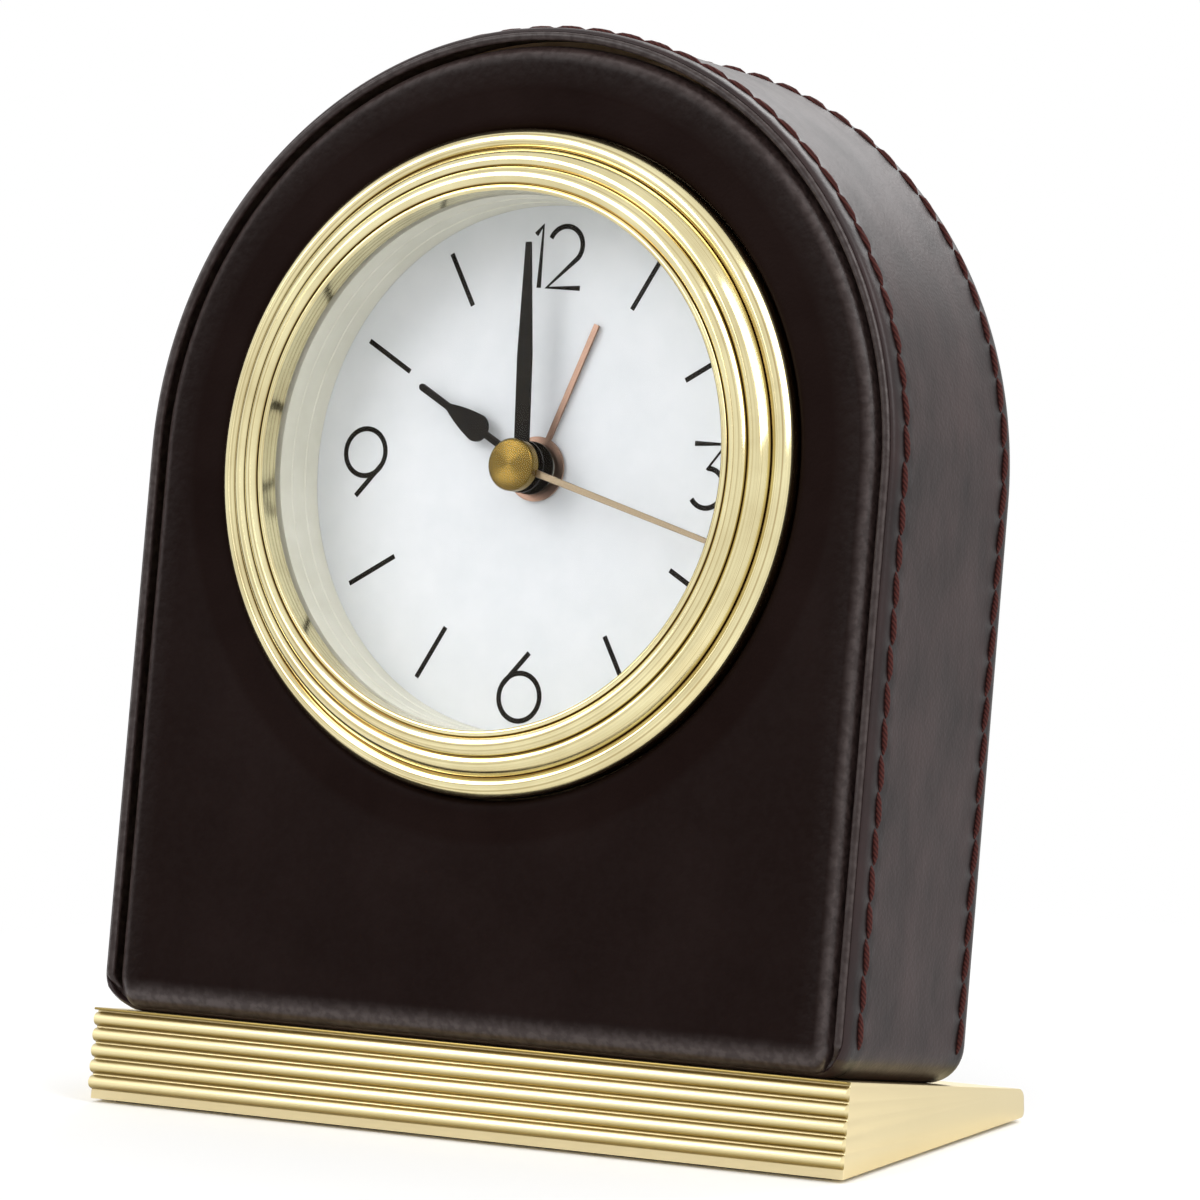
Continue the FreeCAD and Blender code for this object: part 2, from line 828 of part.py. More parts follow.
def raised(start, end, along, out):
    """A corner a share along the way from start to end, raised to the front by a share of its length."""
    step_r = end[0] - start[0]
    step_v = end[1] - start[1]
    return (start[0] + step_r * along - step_v * out, start[1] + step_v * along + step_r * out)


def reed(start, end, rise):
    """The two corners of a reed's flat crest, between its grooves."""
    flank = S["reed_flank_share"]
    return [raised(start, end, flank, rise), raised(start, end, as_size(1) - flank, rise)]


def make_bezel_ring():
    """Gold ring of three reeds and an inner bead, with a lens seat and a skirt into the case."""
    seat = -S["bezel_lens_seat"]
    lens_back = seat + S["lens_thickness"] + S["seat_gap"]
    lens_hole = S["lens_radius"] + S["bore_clearance"]
    wall = (S["bezel_radius"], -S["bezel_wall"])
    outer = (S["outer_groove_radius"], -S["reed_outer_groove_rise"])
    middle = (S["middle_groove_radius"], -S["reed_middle_groove_rise"])
    inner = (S["inner_groove_radius"], -S["reed_inner_groove_rise"])
    opening = (S["bezel_opening_radius"], -S["reed_inner_groove_rise"])
    face = [wall]
    face += reed(wall, outer, S["reed_outer_share"]) + [outer]
    face += reed(outer, middle, S["reed_middle_share"]) + [middle]
    face += reed(middle, inner, S["reed_inner_share"]) + [inner]
    face += [raised(inner, opening, S["bead_crest_share"], S["bead_share"]), opening]
    turned("bezel_ring", [(S["bezel_radius"], ZERO)] + face + [
        (S["bezel_opening_radius"], seat),
        (lens_hole, seat),
        (lens_hole, lens_back),
        (S["bezel_skirt_inner"], lens_back),
        (S["bezel_skirt_inner"], S["bezel_skirt_depth"]),
        (S["bezel_skirt_radius"], S["bezel_skirt_depth"]),
        (S["bezel_skirt_radius"], ZERO),
    ])


LENS_FRONT = S["seat_gap"] - S["bezel_lens_seat"]
LENS_BACK = LENS_FRONT + S["lens_thickness"]
CUP_FRONT = LENS_BACK + S["seat_gap"]


def make_lens():
    turned("lens", [
        (ZERO, LENS_FRONT),
        (S["lens_radius"], LENS_FRONT),
        (S["lens_radius"], LENS_BACK),
        (ZERO, LENS_BACK),
    ])


def make_insert_housing():
    """Ivory cup: smooth wall in front of the dial, a step that the dial rests on, thin wall behind."""
    turned("insert_housing", [
        (S["cup_bore"], CUP_FRONT),
        (S["cup_radius"], CUP_FRONT),
        (S["cup_radius"], S["cup_back"]),
        (S["cup_inner"], S["cup_back"]),
        (S["cup_inner"], S["dial_depth"]),
        (S["cup_bore"], S["dial_depth"]),
    ])


def make_dial():
    piece = new_piece("dial")
    dial_back = S["dial_depth"] + S["dial_thickness"]
    disc(piece, S["dial_radius"], S["dial_depth"], dial_back)
    drill(piece, S["alarm_tube_radius"] + S["bore_clearance"] * 2, S["dial_depth"], dial_back)
    on_dial(piece)


# Hands, drawn pointing to twelve and turned to the time shown

def make_hour_hand():
    """Leaf-shaped hand: slim stem, a drop-shaped leaf, a waist and a rounded tip."""
    piece = new_piece("hour_hand")
    front = S["hour_hand_depth"]
    back = front + S["hand_thickness"]
    stem = S["hour_stem"] / 2
    leaf = S["hour_leaf_width"] / 2
    tip = S["hour_hand_length"]
    disc(piece, S["hub_radius"], front, back)
    plate(piece, [
        (-stem, ZERO),
        (stem, ZERO),
        (stem, S["hour_stem_end"], leaf, -1),
        (leaf, S["hour_leaf_place"] + stem, tip, -1),
        (stem, S["hour_neck_place"]),
        (stem, tip - stem, stem * 1.2, -1),
        (ZERO, tip, stem * 1.2, -1),
        (-stem, tip - stem),
        (-stem, S["hour_neck_place"], tip, -1),
        (-leaf, S["hour_leaf_place"] + stem, leaf, -1),
        (-stem, S["hour_stem_end"]),
    ], front, back)
    drill(piece, S["hour_tube_radius"] + S["tube_wall_gap"], front, back)
    on_dial(piece, S["hour_angle"])


def make_minute_hand():
    """Baton hand: even width to its shoulder, then a long taper."""
    piece = new_piece("minute_hand")
    front = S["minute_hand_depth"]
    back = front + S["hand_thickness"]
    half = S["minute_hand_width"] / 2
    tip = S["minute_tip_width"] / 2
    disc(piece, S["hub_radius"], front, back)
    plate(piece, [
        (-half, ZERO),
        (half, ZERO),
        (half, S["minute_shoulder"]),
        (tip, S["minute_hand_length"]),
        (-tip, S["minute_hand_length"]),
        (-half, S["minute_shoulder"]),
    ], front, back)
    drill(piece, S["minute_tube_radius"] + S["tube_wall_gap"], front, back)
    on_dial(piece, S["minute_angle"])


def make_second_hand():
    piece = new_piece("second_hand")
    front = S["second_hand_depth"]
    back = front + S["hand_thickness"]
    half = S["second_hand_width"] / 2
    disc(piece, S["hub_radius"] / 2, front, back)
    plate(piece, corners_of(-half, -S["second_tail_length"], half, S["second_hand_length"]), front, back)
    drill(piece, S["second_arbor_radius"] + S["tube_wall_gap"], front, back)
    on_dial(piece, S["second_angle"])


def make_second_cap():
    """Spun cap over the hub of the second hand, its front edge broken by two bevels."""
    back = S["second_hand_depth"]
    front = back - S["cap_height"]
    turned("second_cap", [
        (ZERO, front),
        (S["cap_radius"] - S["cap_bevel"] * 2, front),
        (S["cap_radius"] - S["cap_bevel"] / 2, front + S["cap_bevel"] / 2),
        (S["cap_radius"], front + S["cap_bevel"] * 2),
        (S["cap_radius"], back),
        (ZERO, back),
    ], S["second_angle"])


def make_alarm_hand():
    piece = new_piece("alarm_hand")
    front = S["alarm_hand_depth"]
    back = front + S["hand_thickness"]
    half = S["alarm_hand_width"] / 2
    disc(piece, S["alarm_hub_radius"], front, back)
    plate(piece, corners_of(-half, ZERO, half, S["alarm_hand_length"]), front, back)
    drill(piece, S["alarm_tube_radius"] + S["tube_wall_gap"], front, back)
    on_dial(piece, S["alarm_angle"])


# Wheel train

def arbor(distance, angle, origin=(ZERO, ZERO)):
    """Place of an arbor at a distance and clockwise angle from another."""
    return (origin[0] + distance * sine(angle), origin[1] + distance * cosine(angle))


def mesh_distance(module, first, second):
    return module * (first + second) / 2


MOTION_AT = arbor(
    mesh_distance(S["motion_module"], S["cannon_teeth"], S["minute_wheel_teeth"]), S["motion_angle"]
)
TIME_SET_AT = arbor(
    mesh_distance(S["motion_module"], S["minute_wheel_teeth"], S["time_set_teeth"]),
    S["motion_angle"],
    MOTION_AT,
)
THIRD_AT = arbor(
    mesh_distance(S["third_module"], S["third_wheel_teeth"], S["seconds_pinion_teeth"]), S["third_angle"]
)
INTERMEDIATE_AT = arbor(
    mesh_distance(S["seconds_module"], S["seconds_wheel_teeth"], S["intermediate_pinion_teeth"]),
    S["intermediate_angle"],
)
ROTOR_AT = arbor(
    mesh_distance(S["rotor_module"], S["intermediate_wheel_teeth"], S["rotor_pinion_teeth"]),
    S["rotor_angle"], INTERMEDIATE_AT,
)
ALARM_SET_AT = arbor(
    mesh_distance(S["alarm_module"], S["alarm_wheel_teeth"], S["alarm_set_teeth"]), S["alarm_set_angle"]
)
CENTRE = (ZERO, ZERO)


def meshing_phase(own_teeth, own_at, other_teeth, other_at, other_phase):
    """Counter-clockwise turn that puts this wheel's teeth in the other wheel's gaps, in degrees."""
    across = own_at[0].value - other_at[0].value
    up = own_at[1].value - other_at[1].value
    heading = math.degrees(math.atan2(up, across))
    other_pitch = FULL_TURN / other_teeth.value
    own_pitch = FULL_TURN / own_teeth.value
    upright = FULL_TURN / 4
    other_share = ((heading - upright - other_phase) / other_pitch) % 1.0
    own_share = (0.5 - other_share) % 1.0
    return (heading + HALF_TURN - upright - own_share * own_pitch) % own_pitch


def toothed(piece, teeth, module, front, back, phase):
    """Add a toothed disc: teeth whose straight flanks meet at the roots, over a disc inside them."""
    root = module * (teeth / 2 - S["dedendum_share"])
    tip = module * (teeth / 2 + S["addendum_share"])
    low = root * S["tooth_root_share"]
    half_root = root * tangent(as_size(HALF_TURN) / teeth)
    half_tip = module * S["tooth_tip_share"]
    blank = new_sketch(piece, depth=front)
    draw_circle(blank, (root + low) / 2)
    pad(piece, blank, back - front)
    tooth = new_sketch(piece, depth=front, turn=phase)
    draw_loop(tooth, [
        (-half_root, low),
        (half_root, low),
        (half_root, root),
        (half_tip, tip),
        (-half_tip, tip),
        (-half_root, root),
    ])
    one = pad(piece, tooth, back - front)
    polar(piece, [one], teeth)


def on_arbor(piece, at):
    """Set a wheel down at its arbor, in the leaning frame of the dial."""
    y = DIAL_Y + at[1] * sine(LEAN)
    z = DIAL_Z + at[1] * cosine(LEAN)
    place(piece, y, z)
    piece.setExpression("Placement.Base.x", at[0].text)


def wheel_span(depth):
    return depth, depth + S["wheel_thickness"]


def leaf_span(depth):
    """Pinion leaves reach a little past the wheel that they mesh with, on both sides."""
    return depth - S["leaf_overhang"], depth + S["wheel_thickness"] + S["leaf_overhang"]


CANNON_PHASE = 0.0
MINUTE_WHEEL_PHASE = meshing_phase(
    S["minute_wheel_teeth"], MOTION_AT, S["cannon_teeth"], CENTRE, CANNON_PHASE
)
TIME_SET_PHASE = meshing_phase(
    S["time_set_teeth"], TIME_SET_AT, S["minute_wheel_teeth"], MOTION_AT, MINUTE_WHEEL_PHASE
)
MINUTE_PINION_PHASE = 0.0
HOUR_WHEEL_PHASE = meshing_phase(
    S["hour_wheel_teeth"], CENTRE, S["minute_pinion_teeth"], MOTION_AT, MINUTE_PINION_PHASE
)
ALARM_WHEEL_PHASE = 0.0
ALARM_SET_PHASE = meshing_phase(
    S["alarm_set_teeth"], ALARM_SET_AT, S["alarm_wheel_teeth"], CENTRE, ALARM_WHEEL_PHASE
)
SECONDS_PINION_PHASE = 0.0
THIRD_WHEEL_PHASE = meshing_phase(
    S["third_wheel_teeth"], THIRD_AT, S["seconds_pinion_teeth"], CENTRE, SECONDS_PINION_PHASE
)
THIRD_PINION_PHASE = 0.0
CENTRE_WHEEL_PHASE = meshing_phase(
    S["centre_wheel_teeth"], CENTRE, S["third_pinion_teeth"], THIRD_AT, THIRD_PINION_PHASE
)
SECONDS_WHEEL_PHASE = 0.0
INTERMEDIATE_PINION_PHASE = meshing_phase(
    S["intermediate_pinion_teeth"], INTERMEDIATE_AT, S["seconds_wheel_teeth"], CENTRE, SECONDS_WHEEL_PHASE
)
INTERMEDIATE_WHEEL_PHASE = 0.0
ROTOR_PINION_PHASE = meshing_phase(
    S["rotor_pinion_teeth"],
    ROTOR_AT,
    S["intermediate_wheel_teeth"],
    INTERMEDIATE_AT,
    INTERMEDIATE_WHEEL_PHASE,
)
BRIDGE_BACK = S["bridge_depth"] + S["bridge"]
PLATE_BACK = S["front_plate_depth"] + S["front_plate"]
CANNON_TAIL_RADIUS = S["minute_tube_radius"] - S["tube_clearance"] * 4
TUBE_BORE = S["second_arbor_radius"] + S["tube_clearance"]


def make_seconds_wheel():
    """Second arbor with its wheel and its pinion, from under the cap back to the bridge."""
    piece = new_piece("seconds_wheel")
    front, back = wheel_span(S["seconds_wheel_depth"])
    toothed(piece, S["seconds_wheel_teeth"], S["seconds_module"], front, back, SECONDS_WHEEL_PHASE)
    leaf_front, leaf_back = leaf_span(S["third_wheel_depth"])
    toothed(piece, S["seconds_pinion_teeth"], S["third_module"], leaf_front, front, SECONDS_PINION_PHASE)
    start = S["second_hand_depth"] + S["seat_gap"]
    disc(piece, S["second_arbor_radius"], start, leaf_front)
    disc(piece, S["pivot_radius"], back, BRIDGE_BACK)
    on_dial(piece)


def make_cannon_pinion():
    """Minute tube with its pinion and the tail that the centre wheel grips."""
    piece = new_piece("cannon_pinion")
    front = S["minute_wheel_depth"] - S["leaf_overhang"]
    back = S["centre_wheel_depth"] - S["seat_gap"]
    disc(piece, S["minute_tube_radius"], S["minute_hand_depth"], back)
    toothed(piece, S["cannon_teeth"], S["motion_module"], front, back, CANNON_PHASE)
    disc(piece, CANNON_TAIL_RADIUS, back, back + S["wheel_thickness"] + S["seat_gap"] * 2)
    drill(piece, TUBE_BORE, S["minute_hand_depth"] - S["overrun"], back + S["overrun"])
    on_dial(piece)


def make_centre_wheel():
    """Wheel that grips the tail of the cannon pinion and slips on it when the hands are set."""
    piece = new_piece("centre_wheel")
    front, back = wheel_span(S["centre_wheel_depth"])
    toothed(piece, S["centre_wheel_teeth"], S["centre_module"], front, back, CENTRE_WHEEL_PHASE)
    drill(piece, CANNON_TAIL_RADIUS + S["tube_clearance"], front - S["overrun"], back + S["overrun"])
    on_dial(piece)


def make_hour_wheel():
    piece = new_piece("hour_wheel")
    front, back = wheel_span(S["hour_wheel_depth"])
    toothed(piece, S["hour_wheel_teeth"], S["hour_module"], front, back, HOUR_WHEEL_PHASE)
    disc(piece, S["hour_tube_radius"], S["hour_hand_depth"], front)
    bore = S["minute_tube_radius"] + S["tube_clearance"]
    drill(piece, bore, S["hour_hand_depth"] - S["overrun"], back + S["overrun"])
    on_dial(piece)


def make_alarm_wheel():
    piece = new_piece("alarm_wheel")
    front, back = wheel_span(S["alarm_wheel_depth"])
    toothed(piece, S["alarm_wheel_teeth"], S["alarm_module"], front, back, ALARM_WHEEL_PHASE)
    disc(piece, S["alarm_tube_radius"], S["alarm_hand_depth"], front)
    bore = S["hour_tube_radius"] + S["tube_clearance"]
    drill(piece, bore, S["alarm_hand_depth"] - S["overrun"], back + S["overrun"])
    on_dial(piece)


def make_minute_wheel():
    """Motion-work wheel and pinion that turn on a stud of the front plate."""
    piece = new_piece("minute_wheel")
    front, back = wheel_span(S["minute_wheel_depth"])
    pinion_front = S["hour_wheel_depth"] - S["leaf_overhang"]
    toothed(piece, S["minute_wheel_teeth"], S["motion_module"], front, back, MINUTE_WHEEL_PHASE)
    toothed(piece, S["minute_pinion_teeth"], S["hour_module"], pinion_front, front, MINUTE_PINION_PHASE)
    drill(piece, S["stud_radius"] + S["tube_clearance"], pinion_front - S["overrun"], back + S["overrun"])
    on_arbor(piece, MOTION_AT)


def make_train_wheel(label, at, teeth, module, depth, phase, leaves, leaf_module, leaf_depth, leaf_phase):
    """A wheel and pinion on one arbor that turns between the front plate and the bridge."""
    piece = new_piece(label)
    front, back = wheel_span(depth)
    leaf_front, leaf_back = leaf_span(leaf_depth)
    toothed(piece, teeth, module, front, back, phase)
    if leaf_depth.value < depth.value:
        toothed(piece, leaves, leaf_module, leaf_front, front, leaf_phase)
    else:
        toothed(piece, leaves, leaf_module, back, leaf_back, leaf_phase)
    disc(piece, S["pivot_radius"], S["front_plate_depth"] + S["seat_gap"], BRIDGE_BACK)
    on_arbor(piece, at)


def make_going_train():
    make_train_wheel(
        "third_wheel", THIRD_AT,
        S["third_wheel_teeth"], S["third_module"], S["third_wheel_depth"], THIRD_WHEEL_PHASE,
        S["third_pinion_teeth"], S["centre_module"], S["centre_wheel_depth"], THIRD_PINION_PHASE,
    )
    make_train_wheel(
        "intermediate_wheel", INTERMEDIATE_AT,
        S["intermediate_wheel_teeth"], S["rotor_module"], S["intermediate_wheel_depth"],
        INTERMEDIATE_WHEEL_PHASE,
        S["intermediate_pinion_teeth"], S["seconds_module"], S["seconds_wheel_depth"],
        INTERMEDIATE_PINION_PHASE,
    )


def make_rotor():
    """Disc magnet and pinion on the fastest arbor."""
    piece = new_piece("rotor")
    leaf_front, leaf_back = leaf_span(S["intermediate_wheel_depth"])
    toothed(piece, S["rotor_pinion_teeth"], S["rotor_module"], leaf_front, leaf_back, ROTOR_PINION_PHASE)
    disc(piece, S["magnet_radius"], S["magnet_depth"], S["magnet_depth"] + S["magnet_thickness"])
    disc(piece, S["pivot_radius"], S["front_plate_depth"] + S["seat_gap"], BRIDGE_BACK)
    on_arbor(piece, ROTOR_AT)


def make_set_shaft(label, at, teeth, module, depth, phase):
    """Pinion on a stout shaft that reaches through the rear cover to its knob."""
    piece = new_piece(label)
    front, back = wheel_span(depth)
    toothed(piece, teeth, module, front, back, phase)
    disc(piece, S["pivot_radius"] * 2, S["front_plate_depth"] + S["seat_gap"], front)
    shaft_end = S["cover_depth"] + S["cover_thickness"] + S["knob_gap"] + S["knob_height"] / 2
    disc(piece, S["set_shaft_radius"], back, shaft_end)
    on_arbor(piece, at)


def make_set_knob(label, at):
    """Round knob with notches round its rim for grip and a blind hole for its shaft."""
    piece = new_piece(label)
    front = S["cover_depth"] + S["cover_thickness"] + S["knob_gap"]
    back = front + S["knob_height"]
    disc(piece, S["knob_radius"], front, back)
    one = cut_plate(piece, [
        (-S["knob_groove"], S["knob_radius"] + S["knob_groove"]),
        (ZERO, S["knob_radius"] - S["knob_groove"]),
        (S["knob_groove"], S["knob_radius"] + S["knob_groove"]),
    ], front, back)
    polar(piece, [one], S["knob_groove_count"])
    bore_end = front + S["knob_height"] / 2 + S["seat_gap"]
    drill(piece, S["set_shaft_radius"] + S["tube_wall_gap"], front, bore_end)
    on_arbor(piece, at)


def make_setting_works():
    make_set_shaft(
        "time_set_shaft", TIME_SET_AT,
        S["time_set_teeth"], S["motion_module"], S["minute_wheel_depth"], TIME_SET_PHASE,
    )
    make_set_knob("time_set_knob", TIME_SET_AT)
    make_set_shaft(
        "alarm_set_shaft", ALARM_SET_AT,
        S["alarm_set_teeth"], S["alarm_module"], S["alarm_wheel_depth"], ALARM_SET_PHASE,
    )
    make_set_knob("alarm_set_knob", ALARM_SET_AT)


# Movement plates

CELL_LEFT = (S["cell_spring_length"] - S["cell_nub"] - S["cell_length"]) / 2
NUB_END = CELL_LEFT + S["cell_length"] + S["cell_nub"] + S["seat_gap"]


def post_places():
    return [
        (-S["post_spread"], -S["post_drop"]),
        (S["post_spread"], -S["post_drop"]),
        (S["post_top_spread"], S["post_top_height"]),
    ]


def make_movement_front_plate():
    """Round plate behind the dial: bearings, a stud, bridge and stator posts, battery bay walls."""
    piece = new_piece("movement_front_plate")
    front = S["front_plate_depth"]
    disc(piece, S["plate_radius"], front, PLATE_BACK)
    for x, y in post_places():
        disc(piece, S["post_radius"], PLATE_BACK, S["bridge_depth"] - S["seat_gap"], x, y)
    for side in (-1, 1):
        x = ROTOR_AT[0] + (S["stator_width"] - S["stator_limb"]) / 2 * side
        post_end = S["stator_depth"] - S["seat_gap"]
        disc(piece, S["stator_limb"] / 2, PLATE_BACK, post_end, x, S["stator_post_height"])
    low = -S["cell_drop"] - S["cell_contact_width"] / 2
    high = -S["cell_drop"] + S["cell_contact_width"] / 2
    bay_back = S["cell_depth"] + S["cell_contact_width"] / 2
    right = NUB_END + S["cell_contact"] + S["seat_gap"]
    left = CELL_LEFT - S["cell_spring_length"] - S["cell_contact"] - S["seat_gap"] * 2
    plate(piece, corners_of(right, low, right + S["bay_wall"], high), PLATE_BACK, bay_back)
    plate(piece, corners_of(left - S["bay_wall"], low, left, high), PLATE_BACK, bay_back)
    stud_end = S["minute_wheel_depth"] + S["wheel_thickness"] * 1.5
    disc(piece, S["stud_radius"], PLATE_BACK, stud_end, *MOTION_AT)
    ahead = front - S["overrun"]
    beyond = PLATE_BACK + S["overrun"]
    drill(piece, S["alarm_tube_radius"] + S["tube_clearance"], ahead, beyond)
    for at in (THIRD_AT, INTERMEDIATE_AT, ROTOR_AT):
        drill(piece, S["pivot_radius"] + S["tube_clearance"], ahead, beyond, *at)
    for at in (TIME_SET_AT, ALARM_SET_AT):
        drill(piece, S["pivot_radius"] * 2 + S["tube_clearance"], ahead, beyond, *at)
    on_dial(piece)


def make_movement_bridge():
    """Rear plate on the three posts, above the battery bay, with a hole for each arbor."""
    piece = new_piece("movement_bridge")
    front = S["bridge_depth"]
    side = S["bridge_side"]
    plate(piece, corners_of(-side, -S["bridge_bottom"], side, S["bridge_top"]), front, BRIDGE_BACK)
    past = S["overrun"]
    for at in (CENTRE, THIRD_AT, INTERMEDIATE_AT, ROTOR_AT):
        drill(piece, S["pivot_radius"] + S["tube_clearance"], front - past, BRIDGE_BACK + past, *at)
    for at in (TIME_SET_AT, ALARM_SET_AT):
        drill(piece, S["set_shaft_radius"] + S["tube_clearance"], front - past, BRIDGE_BACK + past, *at)
    on_dial(piece)


# Motor, circuit and contacts

def make_stator():
    """Flat iron frame whose lower bar carries the eye round the rotor magnet."""
    piece = new_piece("stator")
    front = S["stator_depth"]
    back = front + S["stator_thickness"]
    half = S["stator_width"] / 2
    rotor_x, rotor_y = ROTOR_AT
    bar_bottom = rotor_y - S["stator_eye"]
    bar_top = rotor_y + S["stator_eye"]
    top = S["coil_height"] - S["coil_core"] - S["seat_gap"]
    limb = S["stator_limb"]
    plate(piece, [
        (rotor_x - half, bar_bottom),
        (rotor_x + half, bar_bottom),
        (rotor_x + half, top),
        (rotor_x + half - limb, top),
        (rotor_x + half - limb, bar_top),
        (rotor_x - half + limb, bar_top),
        (rotor_x - half + limb, top),
        (rotor_x - half, top),
    ], front, back)
    drill(piece, S["magnet_radius"] + S["door_clearance"] * 2, front, back, *ROTOR_AT)
    on_dial(piece)


def make_coil():
    """Wound coil between two cheeks on an iron core that bridges the stator's limbs."""
    piece = new_piece("coil")
    x = ROTOR_AT[0]
    half = S["coil_length"] / 2
    depth = S["stator_depth"] + S["stator_thickness"] / 2
    sections = [
        (S["coil_radius"], -half, half),
        (S["coil_cheek"], -half - S["coil_cheek_thickness"], -half),
        (S["coil_cheek"], half, half + S["coil_cheek_thickness"]),
        (S["coil_core"], -S["stator_width"] / 2, -half),
        (S["coil_core"], half, S["stator_width"] / 2),
    ]
    for radius, left, right in sections:
        sketch = new_sketch(piece, "YZ_Plane", depth=x + left)
        draw_circle(sketch, radius, depth, S["coil_height"])
        pad(piece, sketch, right - left, towards_rear=False)
    on_dial(piece)


BOARD_FRONT = PLATE_BACK + S["seat_gap"]


def make_circuit_board():
    """Small board on the front plate, to the right of the motor, with one moulded chip on it."""
    piece = new_piece("circuit_board")
    front = BOARD_FRONT
    back = front + S["board_thickness"]
    left = S["board_left"]
    bottom = S["board_bottom"]
    plate(piece, corners_of(left, bottom, left + S["board_across"], bottom + S["board_height"]), front, back)
    chip = S["board_across"] / 4
    chip_outline = corners_of(left + chip, bottom + chip, left + chip * 2, bottom + chip * 2)
    plate(piece, chip_outline, back, back + chip / 2)
    on_dial(piece)


def make_quartz_crystal():
    """Tuning-fork crystal can lying on the board."""
    piece = new_piece("quartz_crystal")
    x = S["board_left"] + S["board_across"] * 3 / 4
    depth = BOARD_FRONT + S["board_thickness"] + S["crystal_radius"] + S["seat_gap"]
    sketch = new_sketch(piece, "XY_Plane", depth=S["board_bottom"] + S["board_height"] / 4)
    draw_circle(sketch, S["crystal_radius"], x, depth)
    pad(piece, sketch, S["crystal_length"], towards_rear=False)
    on_dial(piece)


def make_buzzer():
    """Sounder disc on the inside of the rear cover, with a sound hole."""
    piece = new_piece("buzzer")
    back = S["cover_depth"] - S["seat_gap"]
    front = back - S["buzzer_thickness"]
    at = (-S["buzzer_x"], S["buzzer_height"])
    disc(piece, S["buzzer_radius"], front, back, *at)
    drill(piece, S["crystal_radius"], front, back, *at)
    on_dial(piece)


def make_alarm_contact_spring():
    """Leaf that the alarm wheel lets up against the hour wheel's side at the set time."""
    piece = new_piece("alarm_contact_spring")
    front = S["contact_strip_depth"]
    back = front + S["contact_strip"]
    half = S["contact_strip_width"] / 2
    end = -S["contact_strip_end"]
    plate(piece, corners_of(end, -half, -S["contact_strip_reach"], half), front, back)
    foot = corners_of(end, -half, end + S["contact_strip_width"], half)
    plate(piece, foot, PLATE_BACK + S["seat_gap"], front)
    on_dial(piece)


# Battery bay

def make_battery():
    """Dry cell lying across the movement below the arbors, its positive nub to the right."""
    piece = new_piece("battery")
    height = -S["cell_drop"]
    can = new_sketch(piece, "YZ_Plane", depth=CELL_LEFT)
    draw_circle(can, S["cell_radius"], S["cell_depth"], height)
    pad(piece, can, S["cell_length"], towards_rear=False)
    nub = new_sketch(piece, "YZ_Plane", depth=CELL_LEFT + S["cell_length"])
    draw_circle(nub, S["cell_nub_radius"], S["cell_depth"], height)
    pad(piece, nub, S["cell_nub"], towards_rear=False)
    on_dial(piece)


def make_battery_contacts():
    """Flat plate at the positive end, plate with a cone spring at the negative end."""
    half = S["cell_contact_width"] / 2
    low = -S["cell_drop"] - half
    high = -S["cell_drop"] + half
    plus = new_piece("battery_plus_contact")
    plus_outline = corners_of(NUB_END, low, NUB_END + S["cell_contact"], high)
    plate(plus, plus_outline, S["cell_depth"] - half, S["cell_depth"] + half)
    on_dial(plus)
    back = CELL_LEFT - S["seat_gap"] - S["cell_spring_length"]
    minus = new_piece("battery_minus_spring")
    minus_outline = corners_of(back - S["cell_contact"], low, back, high)
    plate(minus, minus_outline, S["cell_depth"] - half, S["cell_depth"] + half)
    cone = new_sketch(minus, "YZ_Plane", depth=back)
    draw_circle(cone, S["cell_spring_radius"], S["cell_depth"], -S["cell_drop"])
    pad(minus, cone, S["cell_spring_length"], towards_rear=False)
    on_dial(minus)


# Rear cover

COVER_BACK = S["cover_depth"] + S["cover_thickness"]
DOOR_BACK = COVER_BACK
DOOR_FRONT = COVER_BACK - S["door_thickness"]


def make_rear_cover():
    """Round moulded back: door recess over the battery bay, shaft holes, switch slot, sound slots."""
    piece = new_piece("rear_cover")
    front = S["cover_depth"]
    disc(piece, S["cover_radius"], front, COVER_BACK)
    drop = -S["cell_drop"]
    half_door = S["door_height"] / 2 + S["door_clearance"]
    door_side = S["door_length"] / 2 + S["door_clearance"]
    beyond = COVER_BACK + S["overrun"]
    door_outline = corners_of(-door_side, drop - half_door, door_side, drop + half_door)
    cut_plate(piece, door_outline, DOOR_FRONT - S["seat_gap"], beyond)
    half_bay = S["bay_opening_height"] / 2
    bay_side = S["bay_opening_length"] / 2
    bay_outline = corners_of(-bay_side, drop - half_bay, bay_side, drop + half_bay)
    cut_plate(piece, bay_outline, front - S["overrun"], COVER_BACK)
    for at in (TIME_SET_AT, ALARM_SET_AT):
        drill(piece, S["set_shaft_radius"] + S["tube_clearance"], front - S["overrun"], beyond, *at)
    slot_half = S["switch_length"] / 2 + S["door_clearance"]
    slot_width = S["switch_width"] / 2 + S["door_clearance"]
    height = S["switch_height"]
    cut_plate(
        piece,
        corners_of(-slot_half - S["switch_travel"], height - slot_width, slot_half, height + slot_width),
        front - S["overrun"], COVER_BACK + S["overrun"],
    )
    sound = new_sketch(piece, depth=front - S["overrun"])
    draw_circle(sound, S["crystal_radius"], -S["buzzer_x"], S["buzzer_height"])
    pocket(piece, sound, S["cover_thickness"] + S["overrun"] * 2)
    on_dial(piece)


